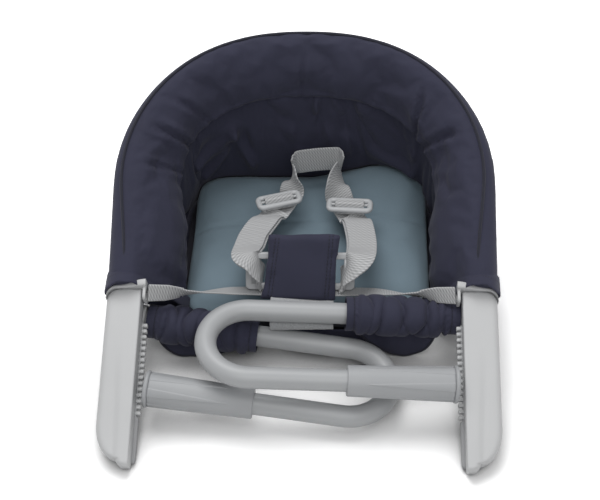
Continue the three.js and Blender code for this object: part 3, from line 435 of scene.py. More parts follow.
def face_outward(mesh):
    work = bmesh.new()
    work.from_mesh(mesh)
    bmesh.ops.recalc_face_normals(work, faces=work.faces)
    work.to_mesh(mesh)
    work.free()


def loft(name, grid, material, nodes=(), body="frame", **options):
    mesh = grid_mesh(name, np.asarray(grid, float), **options)
    return new_object(name, mesh, material, nodes, body)


def section_frames(path, up):
    """Tangent, side and lift at each point of a path; up is a vector or one vector per point."""
    path = np.asarray(path, float)
    tangent = unit_rows(np.gradient(path, axis=0))
    side = unit_rows(np.cross(tangent, np.broadcast_to(up, path.shape)))
    return tangent, side, np.cross(side, tangent)


def tube_grid(path, radius, sides, up):
    path = np.asarray(path, float)
    _, side, lift = section_frames(path, up)
    angles = ring_angles(sides)
    reach = np.broadcast_to(np.asarray(radius, float), (len(path),))
    ring = side[:, None] * np.cos(angles)[None, :, None] + lift[:, None] * np.sin(angles)[None, :, None]
    return path[:, None] + ring * reach[:, None, None]


def band_grid(path, across, width, thick, edge=6):
    """Webbing: a flat band with rounded edges along a path, its width along across at each point."""
    path = np.asarray(path, float)
    tangent = unit_rows(np.gradient(path, axis=0))
    wide = unit_rows(np.asarray(across, float) - tangent * np.sum(across * tangent, axis=1)[:, None])
    out = np.cross(wide, tangent)
    half, deep = width / 2, thick / 2
    flat = np.linspace(-half + deep, half - deep, edge)
    turn = np.linspace(-math.pi / 2, math.pi / 2, 7)[1:-1]
    outline = [(x, -deep) for x in flat]
    outline += [(half - deep + deep * math.cos(a), deep * math.sin(a)) for a in turn]
    outline += [(x, deep) for x in flat[::-1]]
    outline += [(-half + deep - deep * math.cos(a), -deep * math.sin(a)) for a in turn]
    profile = np.array(outline)
    return path[:, None] + wide[:, None] * profile[None, :, :1] + out[:, None] * profile[None, :, 1:]


# Frames of the arms, clamps and crotch pad

def arm_points(sign, local):
    local = np.asarray(local, float)
    x, y, z = local[..., 0], local[..., 1], local[..., 2]
    c, s = math.cos(ARM_SLOPE), math.sin(ARM_SLOPE)
    return np.stack([sign * (ARM_HALF_GAP + x), y * c - z * s, ARM_TOP + y * s + z * c], -1)


def clamp_axes(name, sign):
    drop = PIVOT_DROP[name]
    c, s = math.cos(ARM_SLOPE), math.sin(ARM_SLOPE)
    height = ARM_TOP + (PIVOT_Y - drop * s) / c * s - drop * c
    inward = unit(vec(-sign, -CLAMP_YAW[name], CLAMP_RISE[name]))
    forward = unit(np.cross((0, 0, 1), inward) * sign)
    up = np.cross(inward, forward) * sign
    return vec(sign * ARM_HALF_GAP, PIVOT_Y, height), inward, forward, up


def clamp_points(name, sign, local):
    origin, inward, forward, up = clamp_axes(name, sign)
    local = np.asarray(local, float)
    return origin + local[..., :1] * inward + local[..., 1:2] * forward + local[..., 2:] * up


def right_rail(x):
    """A point on the middle of the right clamp's rear leg."""
    origin, inward, _, _ = clamp_axes("right", 1)
    return origin + inward * (x - origin[0]) / inward[0]


def crotch_points(local):
    local = np.asarray(local, float)
    c, s = math.cos(CROTCH_LEAN), math.sin(CROTCH_LEAN)
    x, y, z = local[..., 0], local[..., 1], local[..., 2]
    base = right_rail(0)[2] + CROTCH_RISE
    return np.stack([x, CROTCH_Y + y * c - z * s, base + y * s + z * c], -1)


# Materials

class Shader:
    """A node material with a Principled shader."""

    def __init__(self, name):
        self.material = bpy.data.materials.new(name)
        self.material.use_nodes = True
        self.tree = self.material.node_tree
        self.shader = next(n for n in self.tree.nodes if n.type == "BSDF_PRINCIPLED")

    def add(self, kind, settings=None, **inputs):
        node = self.tree.nodes.new(kind)
        for key, value in (settings or {}).items():
            setattr(node, key, value)
        for key, value in inputs.items():
            self.feed(node.inputs[key.replace("_", " ")], value)
        return node

    def feed(self, socket, value):
        if isinstance(value, bpy.types.NodeSocket):
            self.tree.links.new(value, socket)
        else:
            socket.default_value = value

    def math(self, operation, a, b):
        node = self.tree.nodes.new("ShaderNodeMath")
        node.operation = operation
        self.feed(node.inputs[0], a)
        self.feed(node.inputs[1], b)
        return node.outputs[0]

    def mix(self, factor, a, b):
        node = self.tree.nodes.new("ShaderNodeMix")
        node.data_type = "RGBA"
        self.feed(node.inputs[0], factor)
        self.feed(node.inputs[6], a)
        self.feed(node.inputs[7], b)
        return node.outputs[2]

    def wave(self, vector, direction, period):
        scale = 2 * math.pi / (20 * period)
        settings = {"wave_type": "BANDS", "bands_direction": direction, "wave_profile": "SIN"}
        return self.add("ShaderNodeTexWave", settings, Vector=vector, Scale=scale).outputs["Fac"]

    def noise(self, scale, detail=3.0, vector=None):
        source = vector or self.add("ShaderNodeTexCoord").outputs["Object"]
        return self.add("ShaderNodeTexNoise", None, Vector=source, Scale=scale, Detail=detail).outputs["Fac"]

    def uv(self):
        return self.add("ShaderNodeUVMap", {"uv_map": "cloth"}).outputs["UV"]

    def bump(self, height, distance, strength=1.0, normal=None):
        node = self.add("ShaderNodeBump", None, Height=height, Distance=distance, Strength=strength)
        if normal is not None:
            self.feed(node.inputs["Normal"], normal)
        return node.outputs["Normal"]

    def finish(self, **inputs):
        for key, value in inputs.items():
            self.feed(self.shader.inputs[key.replace("_", " ")], value)
        return self.material


def rgb(red, green, blue):
    """A colour given as it looks on screen, 0 to 255, as linear light."""
    shares = [c / 255 for c in (red, green, blue)]
    return tuple(s / 12.92 if s <= 0.04045 else ((s + 0.055) / 1.055) ** 2.4 for s in shares) + (1.0,)


def cloth_material(name, dark, light, yarn, sheen):
    """Woven cloth on object coordinates: crossing yarns, slubs, broad tone and fine creases."""
    s = Shader(name)
    place = s.add("ShaderNodeTexCoord").outputs["Object"]
    weave = s.math("MULTIPLY", s.wave(place, "X", yarn), s.wave(place, "DIAGONAL", yarn))
    slub = s.noise(1500.0, 2.0, place)
    broad = s.noise(22.0)
    tone = s.math("ADD", s.math("MULTIPLY", weave, 0.3), s.math("MULTIPLY", slub, 0.5))
    tone = s.math("ADD", tone, s.math("MULTIPLY", broad, 0.3))
    colour = s.mix(tone, rgb(*dark), rgb(*light))
    creases = s.bump(s.noise(60.0, 5.0), 0.0012, 0.3)
    normal = s.bump(s.math("ADD", weave, slub), 0.0001, 0.5, creases)
    return s.finish(
        Base_Color=colour, Roughness=0.88, Normal=normal, Sheen_Weight=sheen, Sheen_Roughness=0.45,
    )


def webbing_material():
    s = Shader("webbing")
    uv = s.uv()
    turned = s.add("ShaderNodeMapping", None, Vector=uv, Rotation=(0, 0, math.radians(28))).outputs[0]
    twill = s.wave(turned, "Y", 0.0026)
    ribs = s.wave(uv, "Y", 0.0031)
    yarn = s.noise(1400.0, 2.0, uv)
    tone = s.math("ADD", s.math("MULTIPLY", twill, 0.45), s.math("MULTIPLY", ribs, 0.25))
    tone = s.math("ADD", tone, s.math("MULTIPLY", yarn, 0.35))
    colour = s.mix(tone, rgb(126, 127, 129), rgb(206, 207, 208))
    normal = s.bump(tone, 0.00035, 0.8)
    return s.finish(Base_Color=colour, Roughness=0.72, Normal=normal, Sheen_Weight=0.15)


def moulded_material(name, dark, light, roughness, grain=0.00005):
    s = Shader(name)
    broad = s.noise(14.0, 2.0)
    fine = s.noise(2600.0, 2.0)
    colour = s.mix(broad, rgb(*dark), rgb(*light))
    rough = s.math("ADD", roughness - 0.06, s.math("MULTIPLY", fine, 0.12))
    return s.finish(Base_Color=colour, Roughness=rough, Normal=s.bump(fine, grain, 0.6))


def painted_material(name, dark, light, roughness):
    s = Shader(name)
    broad = s.noise(9.0, 2.0)
    orange_peel = s.noise(700.0, 2.0)
    colour = s.mix(broad, rgb(*dark), rgb(*light))
    rough = s.math("ADD", roughness, s.math("MULTIPLY", orange_peel, 0.08))
    normal = s.bump(orange_peel, 0.00004, 0.4)
    return s.finish(Base_Color=colour, Roughness=rough, Normal=normal, Coat_Weight=0.12, Coat_Roughness=0.35)


def metal_material(name, colour, roughness):
    s = Shader(name)
    drawn = s.noise(180.0, 3.0)
    rough = s.math("ADD", roughness, s.math("MULTIPLY", drawn, 0.15))
    return s.finish(Base_Color=rgb(*colour), Roughness=rough, Metallic=0.9)


def loop_pile_material():
    s = Shader("loop_pile")
    uv = s.uv()
    pile = s.noise(700.0, 5.0, uv)
    colour = s.mix(pile, rgb(120, 122, 125), rgb(205, 207, 209))
    return s.finish(Base_Color=colour, Roughness=0.95, Normal=s.bump(pile, 0.0012, 1.0), Sheen_Weight=0.4)


NAVY = cloth_material("navy_cloth", (25, 26, 41), (54, 55, 77), 0.0011, 0.05)
TEAL = cloth_material("teal_cloth", (98, 116, 127), (130, 149, 160), 0.0011, 0.06)
THREAD = cloth_material("navy_thread", (16, 17, 27), (34, 35, 50), 0.0008, 0.1)
WEBBING = webbing_material()
LOOP_PILE = loop_pile_material()
ARM_PLASTIC = moulded_material("arm_plastic", (190, 191, 192), (200, 201, 202), 0.5)
# Painted light: the pad rubber and the rack rubber are shaded and lit copies of one rubber; the darker strip is
# painted shade for the gaps between the teeth, the lighter teeth a lit copy.
SHADED_PAD_RUBBER = moulded_material("shaded_pad_rubber", (150, 151, 153), (168, 169, 171), 0.75, 0.0001)
LIT_RACK_RUBBER = moulded_material("lit_rack_rubber", (186, 187, 188), (206, 207, 208), 0.6, 0.0001)
GRIP_PLASTIC = moulded_material("grip_plastic", (158, 160, 163), (170, 172, 174), 0.48)
BUCKLE_PLASTIC = moulded_material("buckle_plastic", (174, 176, 178), (186, 188, 190), 0.45)
TUBE_PAINT = painted_material("tube_paint", (162, 164, 166), (172, 174, 176), 0.38)
HOOP_METAL = metal_material("hoop_metal", (185, 188, 192), 0.3)
SCREW_STEEL = metal_material("screw_steel", (150, 152, 156), 0.25)
BOARD = moulded_material("board", (38, 38, 46), (50, 50, 58), 0.8)


# Arms and their hard pieces

def round_over(distance, radius):
    """How far a rounded edge drops, at a distance in from that edge."""
    d = np.clip(distance, 0, radius)
    return radius - np.sqrt(np.maximum(radius**2 - (radius - d) ** 2, 0))


def arm_outer(y):
    """The arm's outer edge: straight, then round to the tip on the inner side."""
    t = np.clip((-y - ARM_TIP_START) / (ARM_TIP_NOTCH - ARM_TIP_START), 0, 1)
    rounding = ARM_TIP_CUT * (1 - np.sqrt(np.maximum(1 - t**ARM_TIP_POWER, 0)))
    past = np.clip((-y - ARM_TIP_NOTCH) / (ARM_LENGTH - ARM_TIP_NOTCH), 0, 1)
    return ARM_WIDTH - rounding - round_over(-y, ARM_REAR_ROUND) - ARM_TIP_HOOK * past**2


def arm_section(y):
    """One ring of the shell: a rounded top with a shallow valley along it, two walls and a flat floor."""
    inner = ARM_INNER + ARM_TIP_DRAW * float(round_over(ARM_LENGTH + y, ARM_TIP_ROUND)) / ARM_TIP_ROUND
    outer = float(arm_outer(y))
    x = inner + (outer - inner) * (0.5 - 0.5 * np.cos(np.linspace(0, math.pi, ARM_TOP_POINTS)))
    fade = smoothstep(-y, *VALLEY_FADE)
    crease = lerp(*VALLEY_AT, smoothstep(-y, *VALLEY_BEND)) * ARM_WIDTH
    valley = VALLEY_DEPTH * fade * bell(x - crease, VALLEY_WIDTH)
    outer_fall = OUTER_FALL * fade * smoothstep(x, crease, crease + 6)
    z = -round_over(x - inner, ARM_EDGE_INNER) - round_over(outer - x, ARM_EDGE_OUTER) - valley - outer_fall
    z = z - float(round_over(-y, 3)) - float(round_over(ARM_LENGTH + y, 4)) * 0.8
    top = np.stack([x, np.full(ARM_TOP_POINTS, y), np.maximum(z, -ARM_HEIGHT + 1)], 1)
    low_outer = [(outer - 0.3, y, lerp(top[-1][2], -ARM_HEIGHT, f)) for f in (0.35, 0.7, 0.97)]
    low_inner = [(inner, y, lerp(-ARM_HEIGHT, top[0][2], f)) for f in (0.03, 0.3, 0.65)]
    floor = [(lerp(outer - 1, inner + 1, f), y, -ARM_HEIGHT) for f in (0, 0.5, 1)]
    return np.vstack([top, low_outer, floor, low_inner])


def arm_shell(name, sign):
    rear = 12 * np.linspace(0, 1, 14) ** 2
    middle = np.linspace(16, 136, 24)
    tip = np.concatenate([np.linspace(140, 174, 18), np.linspace(175.5, ARM_LENGTH - 0.05, 12)])
    rings = [arm_section(-y) for y in np.concatenate([rear, middle, tip])]
    loft(f"{name}_arm", arm_points(sign, np.array(rings)), ARM_PLASTIC, [f"{name}_arm_shell"])
    turned(f"{name}_arm_hub", name, sign, 0, HUB_PROFILE, 56, ARM_PLASTIC, [])
    arm_web(name, sign)


def arm_web(name, sign):
    """The rib that carries the hub under the arm."""
    c, s = math.cos(ARM_SLOPE), math.sin(ARM_SLOPE)
    drop = PIVOT_DROP[name]
    middle = (PIVOT_Y - drop * s) / c
    rings = []
    for z, half in WEB_LEVELS + ((-drop + 13.8, 9),):
        front = [(3, -half), (29, -half), (31, -half + 2), (31, half - 2)]
        rear = [(29, half), (3, half), (1.5, half - 2), (1.5, -half + 2)]
        rings.append([(x, min(middle + y, -1.5), z) for x, y in front + rear])
    loft(f"{name}_arm_web", arm_points(sign, np.array(rings, float)), ARM_PLASTIC)


def turned(label, name, sign, offset, profile, sides, material, nodes, body="frame"):
    """A turned piece on a line parallel to a clamp's pivot, from (x, radius) pairs."""
    angles = ring_angles(sides)
    rings = [[(x, offset + r * math.cos(a), r * math.sin(a)) for a in angles] for x, r in profile]
    return loft(label, clamp_points(name, sign, np.array(rings)), material, nodes, body)


def table_pad(name, sign):
    """Rubber under the arm: a strip that ends in a smooth slanted pad, and a rack of small teeth on it. The
    strip is a darker, shaded copy of the rubber and the teeth a lighter, lit copy, so the gaps between the
    teeth show painted shade.
    """
    teeth_end = RACK_START + RACK_TEETH * RACK_PITCH
    rack = np.linspace(RACK_START, teeth_end, 20)
    rings = []
    for y in np.concatenate([rack, np.linspace(teeth_end + 2, PAD_END - 1, 24)]):
        smooth = smoothstep(y, teeth_end, teeth_end + 2)
        end = float(round_over(PAD_END - y, PAD_END_ROUND)) / PAD_END_ROUND
        inner = -1.0 - 2.4 * smooth + 2.5 * end
        bottom = PAD_BOTTOM - 0.5 * smooth + 2 * end
        outer = PAD_OUTER - 16 * max(0, (y - PAD_TAPER_FROM) / (PAD_END - PAD_TAPER_FROM)) ** 2
        top = [(inner + 0.7, -19.4), (outer, -20.2)]
        low = [(outer, bottom), (inner + 0.7, bottom), (inner, bottom + 1), (inner, -20.3)]
        rings.append([(x, -y, z) for x, z in top + low])
    # The pad strip uses the shaded copy of the rubber: painted shade for the gaps between the teeth.
    loft(f"{name}_pad", arm_points(sign, np.array(rings)), SHADED_PAD_RUBBER, [f"{name}_table_pad"])
    tooth = rounded_loop(RACK_PITCH * 0.31, RACK_TOOTH_HALF, 0.8, 20)
    for k in range(RACK_TEETH):
        middle = -RACK_START - (k + 0.5) * RACK_PITCH
        rows = [[(x, middle + a * grow, RACK_HEIGHT + b * grow) for a, b in tooth] for x, grow in RACK_TOOTH]
        # The teeth use the lit copy of the rubber, lighter than the strip they sit on.
        loft(f"{name}_tooth_{k + 1:02d}", arm_points(sign, np.array(rows)), LIT_RACK_RUBBER)


def clamp_path(name):
    radius = LEG_SPACING / 2
    bend_x = CLAMP_REACH - radius - TUBE_RADIUS
    rear = [(x, 0, 0) for x in np.linspace(-HUB_LENGTH, bend_x, 24, endpoint=False)]
    half_turn = np.linspace(0, math.pi, 49)
    bend = [(bend_x + radius * math.sin(a), radius * (1 - math.cos(a)), 0) for a in half_turn]
    front_end = FLANGE_X[name] + FLANGE_THICK + GRIP_GAP
    front = [(x, LEG_SPACING, 0) for x in np.linspace(bend_x, front_end, 24)[1:]]
    return np.array(rear + bend + front)


def clamp_bar(name, sign):
    body = f"{name}_clamp"
    grid = clamp_points(name, sign, tube_grid(clamp_path(name), TUBE_RADIUS, 48, (0, 0, 1)))
    loft(f"{name}_bar", grid, TUBE_PAINT, [f"{name}_clamp_tube"], body)
    turned(f"{name}_end_cap", name, sign, 0, END_CAP_PROFILE, 48, GRIP_PLASTIC, [f"{name}_pivot_cap"], body)
    turned(f"{name}_bush", name, sign, 0, BUSH_PROFILE, 48, GRIP_PLASTIC, [f"{name}_pivot_bush"])
    grip_sleeve(name, sign, body)
    flange = [(FLANGE_X[name] + x, radius) for x, radius in FLANGE_PROFILE]
    turned(f"{name}_flange", name, sign, LEG_SPACING, flange, 64, GRIP_PLASTIC, [f"{name}_grip_cap"], body)


def grip_radius(angle, share):
    """Long wedge-shaped ribs that run out before the grip's square inner end."""
    base = GRIP_BASE - GRIP_TAPER * share
    spacing = 2 * math.pi / GRIP_RIBS
    off = np.abs((angle + GRIP_RIB_TURN + spacing / 2) % spacing - spacing / 2) * base
    half = np.maximum(GRIP_RIB_HALF * (1 - share / GRIP_RIB_END), 0)
    rise = smoothstep(half - off, -0.25, 0.25) * smoothstep(half, 0.0, 0.8)
    return base + GRIP_RIB_HIGH * rise


def grip_sleeve(name, sign, body):
    start = FLANGE_X[name] + FLANGE_THICK + GRIP_GAP
    angles = ring_angles(240)
    rings = []
    for share in np.concatenate([np.linspace(0, 0.99, 70), [0.995, 1.0]]):
        radius = grip_radius(angles, share) - 0.5 * smoothstep(share, 0.992, 1.0)
        x = np.full(len(angles), start + share * GRIP_LENGTH)
        rings.append(np.stack([x, LEG_SPACING + radius * np.cos(angles), radius * np.sin(angles)], 1))
    last = rings[-1].copy()
    last[:, 1] = LEG_SPACING + (last[:, 1] - LEG_SPACING) * GRIP_MOUTH
    last[:, 2] *= GRIP_MOUTH
    grid = clamp_points(name, sign, np.array(rings + [last]))
    loft(f"{name}_grip", grid, GRIP_PLASTIC, [f"{name}_grip_sleeve"], body=body)


# Padded rim

def horseshoe(half_width, straight, back, power, start, side_count, bend_count):
    """A plan line up one side, round the back and down the other side."""
    sides = np.linspace(start, straight, side_count, endpoint=False)
    left = [(-half_width, y) for y in sides]
    bend = []
    for angle in np.linspace(math.pi, 0, bend_count):
        c, s = math.cos(angle), math.sin(angle)
        x = half_width * math.copysign(abs(c) ** (2 / power), c)
        bend.append((x, straight + (back - straight) * abs(s) ** (2 / power)))
    right = [(half_width, y) for y in sides[::-1]]
    return np.array(left + bend + right)


def hoop_height(y):
    start_y = HOOP_DEPTH * math.sin(ARM_SLOPE)
    start_z = ARM_TOP - HOOP_DEPTH * math.cos(ARM_SLOPE)
    return start_z + (y - start_y) * math.tan(HOOP_SLOPE)


def rim_frames(start, count):
    """Points along the hoop with the rim's inward, down and face directions and its length."""
    hoop = horseshoe(HOOP_HALF_WIDTH, HOOP_STRAIGHT, HOOP_BACK, HOOP_POWER, start, 40, 240)
    plan = resample(hoop, count)
    point = np.column_stack([plan, hoop_height(plan[:, 1])])
    along = unit_rows(np.gradient(plan, axis=0))
    inward = np.column_stack([along[:, 1], -along[:, 0], np.zeros(count)])
    backness = np.abs(inward[:, 1])
    lean = RIM_TILT_SIDE - RIM_TILT_SLACK * inward[:, 0]
    tilt = np.radians(lerp(lean, RIM_TILT_BACK, backness))
    length = lerp(RIM_LENGTH_SIDE, RIM_LENGTH_BACK, backness)
    lift = vec(0, 0, 1)
    down = inward * np.cos(tilt)[:, None] - lift * np.sin(tilt)[:, None]
    face = inward * np.sin(tilt)[:, None] + lift * np.cos(tilt)[:, None]
    return point, inward, down, face, length


def rim_reach(y):
    """The radius of the rim's head round the hoop, fuller beside the seat than behind it."""
    return RIM_HEAD - PUFF + RIM_FULLER * (1 - smoothstep(y, *RIM_FULL_SPAN))


def rim_profile(length, reach, count):
    """The rim's section: (down from the hoop, out from its face)."""
    crown = RIM_CROWN - PUFF
    points = [(length - 2, 1.5), (length * 0.9, crown * 0.45)]
    points += [(length * 0.6, crown * 0.95), (length * 0.25, crown * 1.05)]
    points += [(reach * math.cos(a), reach * math.sin(a)) for a in map(math.radians, RIM_HEAD_ANGLES)]
    points += [(length * 0.2, -reach * 0.9), (length * 0.55, -reach * 0.6), (length - 2, -2)]
    return closed_profile(points, count)


def rim_places(points, path, down, face, length):
    """For each point near the rim: its share along the rim, its depth across the face and its side."""
    middle = path + down * (length * 0.5)[:, None]
    inner = KDTree(len(path))
    for i, place in enumerate(middle):
        inner.insert(place, i)
    inner.balance()
    index = np.array([inner.find(p)[1] for p in points])
    offset = points - path[index]
    s = np.sum(offset * down[index], axis=1)
    n = np.sum(offset * face[index], axis=1)
    return index, s / length[index], n


def rim_pad():
    count, around = RIM_COUNT, 48
    point, _, down, face, length = rim_frames(RIM_START, count)
    grid = np.zeros((count, around, 3))
    for i in range(count):
        profile = rim_profile(length[i], rim_reach(point[i][1]), around)
        grid[i] = slanted(point[i] + down[i] * profile[:, :1] + face[i] * profile[:, 1:], point[i])
    rim = loft("rim", grid, NAVY, ["rim_pad"])
    puffed(rim, 5, 6, lambda places: rim_seams(places, point, down, face, length), 0.03)
    mould(rim, lambda places: rim_folds(places, point, down, face, length))


def slanted(ring, centre):
    """Rings near the arms lean with the arms' rear faces."""
    lean = math.tan(ARM_SLOPE) * (1 - smoothstep(centre[1], RIM_START, RIM_START + 40))
    moved = ring.copy()
    moved[:, 1] -= (ring[:, 2] - centre[2]) * lean
    return moved


def rim_hem(name, sign):
    """The cloth's hem, which wraps forward round the outer corner of the arm."""
    point, inward, down, face, length = rim_frames(RIM_START, RIM_COUNT)
    end = 0 if sign < 0 else -1
    profile = rim_profile(length[end], rim_reach(point[end][1]), 96)
    ring = slanted(point[end] + down[end] * profile[:, :1] + face[end] * profile[:, 1:], point[end])
    middle = ring.mean(axis=0)
    outward = np.sum((ring - point[end]) * -inward[end], axis=1) / RIM_HEAD
    wrap = HEM_BACK + HEM_WRAP * smoothstep(outward, 0.25, 0.95)
    rows = []
    for share in np.linspace(0, 1, 14):
        row = middle + (ring - middle) * (1.03 - 0.012 * share)
        row[:, 1] = ring[:, 1] + HEM_BACK - share * (HEM_BACK + wrap) + 0.4 * np.sin(outward * 9)
        rows.append(row)
    for draw, back in HEM_LIP:
        lip = middle + (ring - middle) * draw
        lip[:, 1] = ring[:, 1] - wrap * back
        rows.append(lip)
    grid = np.array(rows)
    hem = loft(f"{name}_rim_hem", grid, NAVY, caps=False)
    thicken(hem, CLOTH_THICK)
    seam = stitches(f"{name}_hem_stitch", grid[5] + (grid[5] - middle) * 0.012)


def rim_seams(places, point, down, face, length):
    """What holds the rim's shape: its sewn inner edge, the foam round the hoop, and its two ends."""
    _, depth, n = rim_places(places, point, down, face, length)
    sewn, foam, ends = depth > 0.95, n < 5, places[:, 1] < point[0][1] + 12
    return sewn | foam | ends


def rim_folds(places, point, down, face, length):
    """Puckers along the inner seam, soft creases at the two rear corners and a groove beside the piping."""
    index, depth, n = rim_places(places, point, down, face, length)
    u = index / (len(point) - 1)
    front = smoothstep(n, -3, 6)
    inner = smoothstep(depth, 0.2, 0.95)
    pucker = ripple(u * 173, u * 97 + depth * 2, u * 241 - depth * 3)
    soft = ripple(u * 37 + depth, u * 61 - depth * 2)
    fall = (0.6 + 1.3 * inner) * pucker * inner + 0.7 * soft
    for centre, width, deep, lean in RIM_CREASES:
        away = (u - centre - lean * (1 - depth)) / width
        ridge = bell(away, 1) - 0.55 * bell(away - 1.7, 1) - 0.45 * bell(away + 1.8, 1)
        fall = fall - deep * ridge
    fall = fall * front * smoothstep(depth, 0.0, 0.3)
    return face[index] * fall[:, None]


def rim_piping():
    count = 300
    point, _, down, face, _ = rim_frames(RIM_START, count)
    y = point[:, 1]
    reach = rim_reach(y) + 0.9
    angle = np.radians(lerp(*PIPING_ANGLES, smoothstep(y, *PIPING_TURN)))
    path = point + down * (reach * np.cos(angle))[:, None] + face * (reach * np.sin(angle))[:, None]
    loft("rim_piping", tube_grid(path, PIPING_RADIUS, 10, (0, 0, 1)), THREAD)


# Soft pieces: swelling by simulation, and shaping after it

def puffed(obj, voxel, cap, held=None, grow=0.0):
    """Swell a closed cloth piece with Blender's cloth under pressure, no point moving more than cap mm."""
    for other in bpy.context.scene.objects:
        other.select_set(False)
    bpy.context.view_layer.objects.active = obj
    obj.select_set(True)
    obj.data.remesh_voxel_size = voxel * MM
    bpy.ops.object.voxel_remesh()
    settle(obj, held, grow, pressure=4, gravity=0, frames=20, cap=cap)
    refine(obj)


def settle(obj, held, grow, pressure, gravity, frames, cap):
    """Run the cloth on a piece and keep the result: held says which points stay, grow how slack it is."""
    scene = bpy.context.scene
    rest = positions(obj.data)
    cloth = obj.modifiers.new("settle", "CLOTH")
    settings = cloth.settings
    if held is not None:
        group = obj.vertex_groups.new(name="held")
        group.add([int(i) for i in np.flatnonzero(held(unplaced(rest)))], 1.0, "REPLACE")
        settings.vertex_group_mass = "held"
    settings.use_pressure = pressure > 0
    settings.uniform_pressure_force = pressure
    settings.shrink_min = -grow
    settings.bending_stiffness = 0.1
    settings.quality = 5
    settings.effector_weights.gravity = gravity
    cloth.point_cache.frame_start = 1
    cloth.point_cache.frame_end = frames
    for step in range(1, frames + 1):
        scene.frame_set(step)
    shaped = obj.evaluated_get(bpy.context.evaluated_depsgraph_get())
    move = positions(shaped.data) - rest
    obj.modifiers.remove(cloth)
    obj.vertex_groups.clear()
    scene.frame_set(1)
    far = np.linalg.norm(move, axis=1)
    limit = np.minimum(1, cap * MM / np.maximum(far, 1e-9))
    set_positions(obj.data, rest + move * limit[:, None])


def refine(obj):
    """One level of subdivision, applied."""
    fine = obj.modifiers.new("fine", "SUBSURF")
    fine.levels = 1
    fine.render_levels = 1
    shaped = obj.evaluated_get(bpy.context.evaluated_depsgraph_get())
    mesh = bpy.data.meshes.new_from_object(shaped)
    obj.modifiers.remove(fine)
    obj.data = mesh
    mesh.shade_smooth()


def positions(mesh):
    flat = np.zeros(len(mesh.vertices) * 3)
    mesh.vertices.foreach_get("co", flat)
    return flat.reshape(-1, 3)


def set_positions(mesh, points):
    mesh.vertices.foreach_set("co", np.ascontiguousarray(points).ravel())
    mesh.update()


def mould(obj, moves):
    """Move a finished piece's points by a function of where they are, in millimetres."""
    now = unplaced(positions(obj.data))
    set_positions(obj.data, placed(now + moves(now)))


def onto(obj, line, direction):
    """Drop a line onto a piece along a direction."""
    aim = Vector(unit(direction))
    hits = []
    for start in placed(line - 15 * unit(direction)):
        found, place, _, _ = obj.ray_cast(Vector(start), aim)
        if found:
            hits.append(unplaced(place))
    return np.array(hits)


def stitches(name, path, pitch=3.4, radius=0.38):
    """A row of sewn stitches along a line."""
    path = np.asarray(path, float)
    length = np.linalg.norm(np.diff(path, axis=0), axis=1).sum()
    count = max(2, int(length / pitch))
    line = resample(path, count * 4 + 1)
    work = bmesh.new()
    for k in range(count):
        start, end = line[4 * k], line[4 * k + 3]
        along = unit(end - start)
        side = unit(np.cross(along, (0.31, 0.2, 0.93)))
        lift = np.cross(side, along)
        rings = []
        for share, reach in ((0, 0.3), (0.15, 1), (0.85, 1), (1, 0.3)):
            centre = lerp(start, end, share)
            ring = []
            for a in ring_angles(6):
                place = centre + (side * math.cos(a) + lift * math.sin(a)) * radius * reach
                ring.append(work.verts.new(placed(place)[0]))
            rings.append(ring)
        for first, second in zip(rings, rings[1:]):
            for j in range(6):
                work.faces.new((first[j], first[(j + 1) % 6], second[(j + 1) % 6], second[j]))
        work.faces.new(rings[0][::-1])
        work.faces.new(rings[-1])
    mesh = bpy.data.meshes.new(name)
    work.to_mesh(mesh)
    work.free()
    return new_object(name, mesh, THREAD)


# Back panel, seat and base

def base_line(inset, start, side_count, bend_count, count):
    straight = (BASE_FRONT + BASE_BACK) / 2
    half, back = BASE_HALF_WIDTH - inset, BASE_BACK - inset
    plan = horseshoe(half, straight, back, CUSHION_POWER, start, side_count, bend_count)
    return resample(plan, count)


def panel_folds(x, h):
    """Slack folds of the back panel: ridges along lines given across the panel and down it."""
    total = np.zeros_like(x)
    for x0, h0, x1, h1, high, wide in PANEL_FOLDS:
        run = vec(x1 - x0, (h1 - h0) * PANEL_DROP)
        along = ((x - x0) * run[0] + (h - h0) * PANEL_DROP * run[1]) / (run @ run)
        t = np.clip(along, 0, 1)
        away = np.hypot(x - x0 - run[0] * t, (h - h0) * PANEL_DROP - run[1] * t) / wide
        total += high / (1 + away**2) ** 1.5
    return total


def back_panel(cushion):
    count, rows = RIM_COUNT, 40
    point, inward, down, face, length = rim_frames(PANEL_START, count)
    top = point + down * (length - 9)[:, None] - face * 3
    foot = np.column_stack([base_line(2, PANEL_START, 30, 200, count), np.full(count, PANEL_FOOT)])
    share = np.linspace(0, 1, count)
    grid = np.zeros((rows, count, 3))
    for k, h in enumerate(np.linspace(0, 1, rows)):
        slack = math.sin(math.pi * h**0.8) * np.sin(math.pi * share) ** 0.6
        hang = ripple(share * 29 + 3 * h, share * 47 - 6 * h + 1, share * 83 + 4 * h)
        folds = panel_folds(top[:, 0], h) * smoothstep(h, 0, 0.06) * (1 - smoothstep(h, 0.7, 0.95))
        grid[k] = top + (foot - top) * h + inward * (slack * (3 + 2 * hang) + folds)[:, None]
    skin = loft("back_cloth", grid, NAVY, ["back_panel"], wrap=False)
    edge = np.concatenate([grid[0], grid[-1], grid[:, 0], grid[:, -1]])
    settle(
        skin, lambda places: near(places, edge, 0.5), grow=0.06, pressure=0, gravity=0.3,
        frames=24, cap=8,
    )
    refine(skin)
    clear_of(skin, cushion, PANEL_GAP)
    thicken(skin, PANEL_THICK)


def clear_of(obj, other, gap):
    """Move a cloth's points out of another piece, to lie a gap away from its surface."""
    points = positions(obj.data)
    for i, point in enumerate(points):
        _, place, normal, _ = other.closest_point_on_mesh(Vector(point))
        if (Vector(point) - place).dot(normal) < gap * MM:
            points[i] = place + normal * gap * MM
    set_positions(obj.data, points)


def near(places, points, reach):
    """Which places are within reach of any of the points."""
    tree = KDTree(len(points))
    for i, point in enumerate(points):
        tree.insert(point, i)
    tree.balance()
    return np.array([tree.find(place)[2] < reach for place in places])


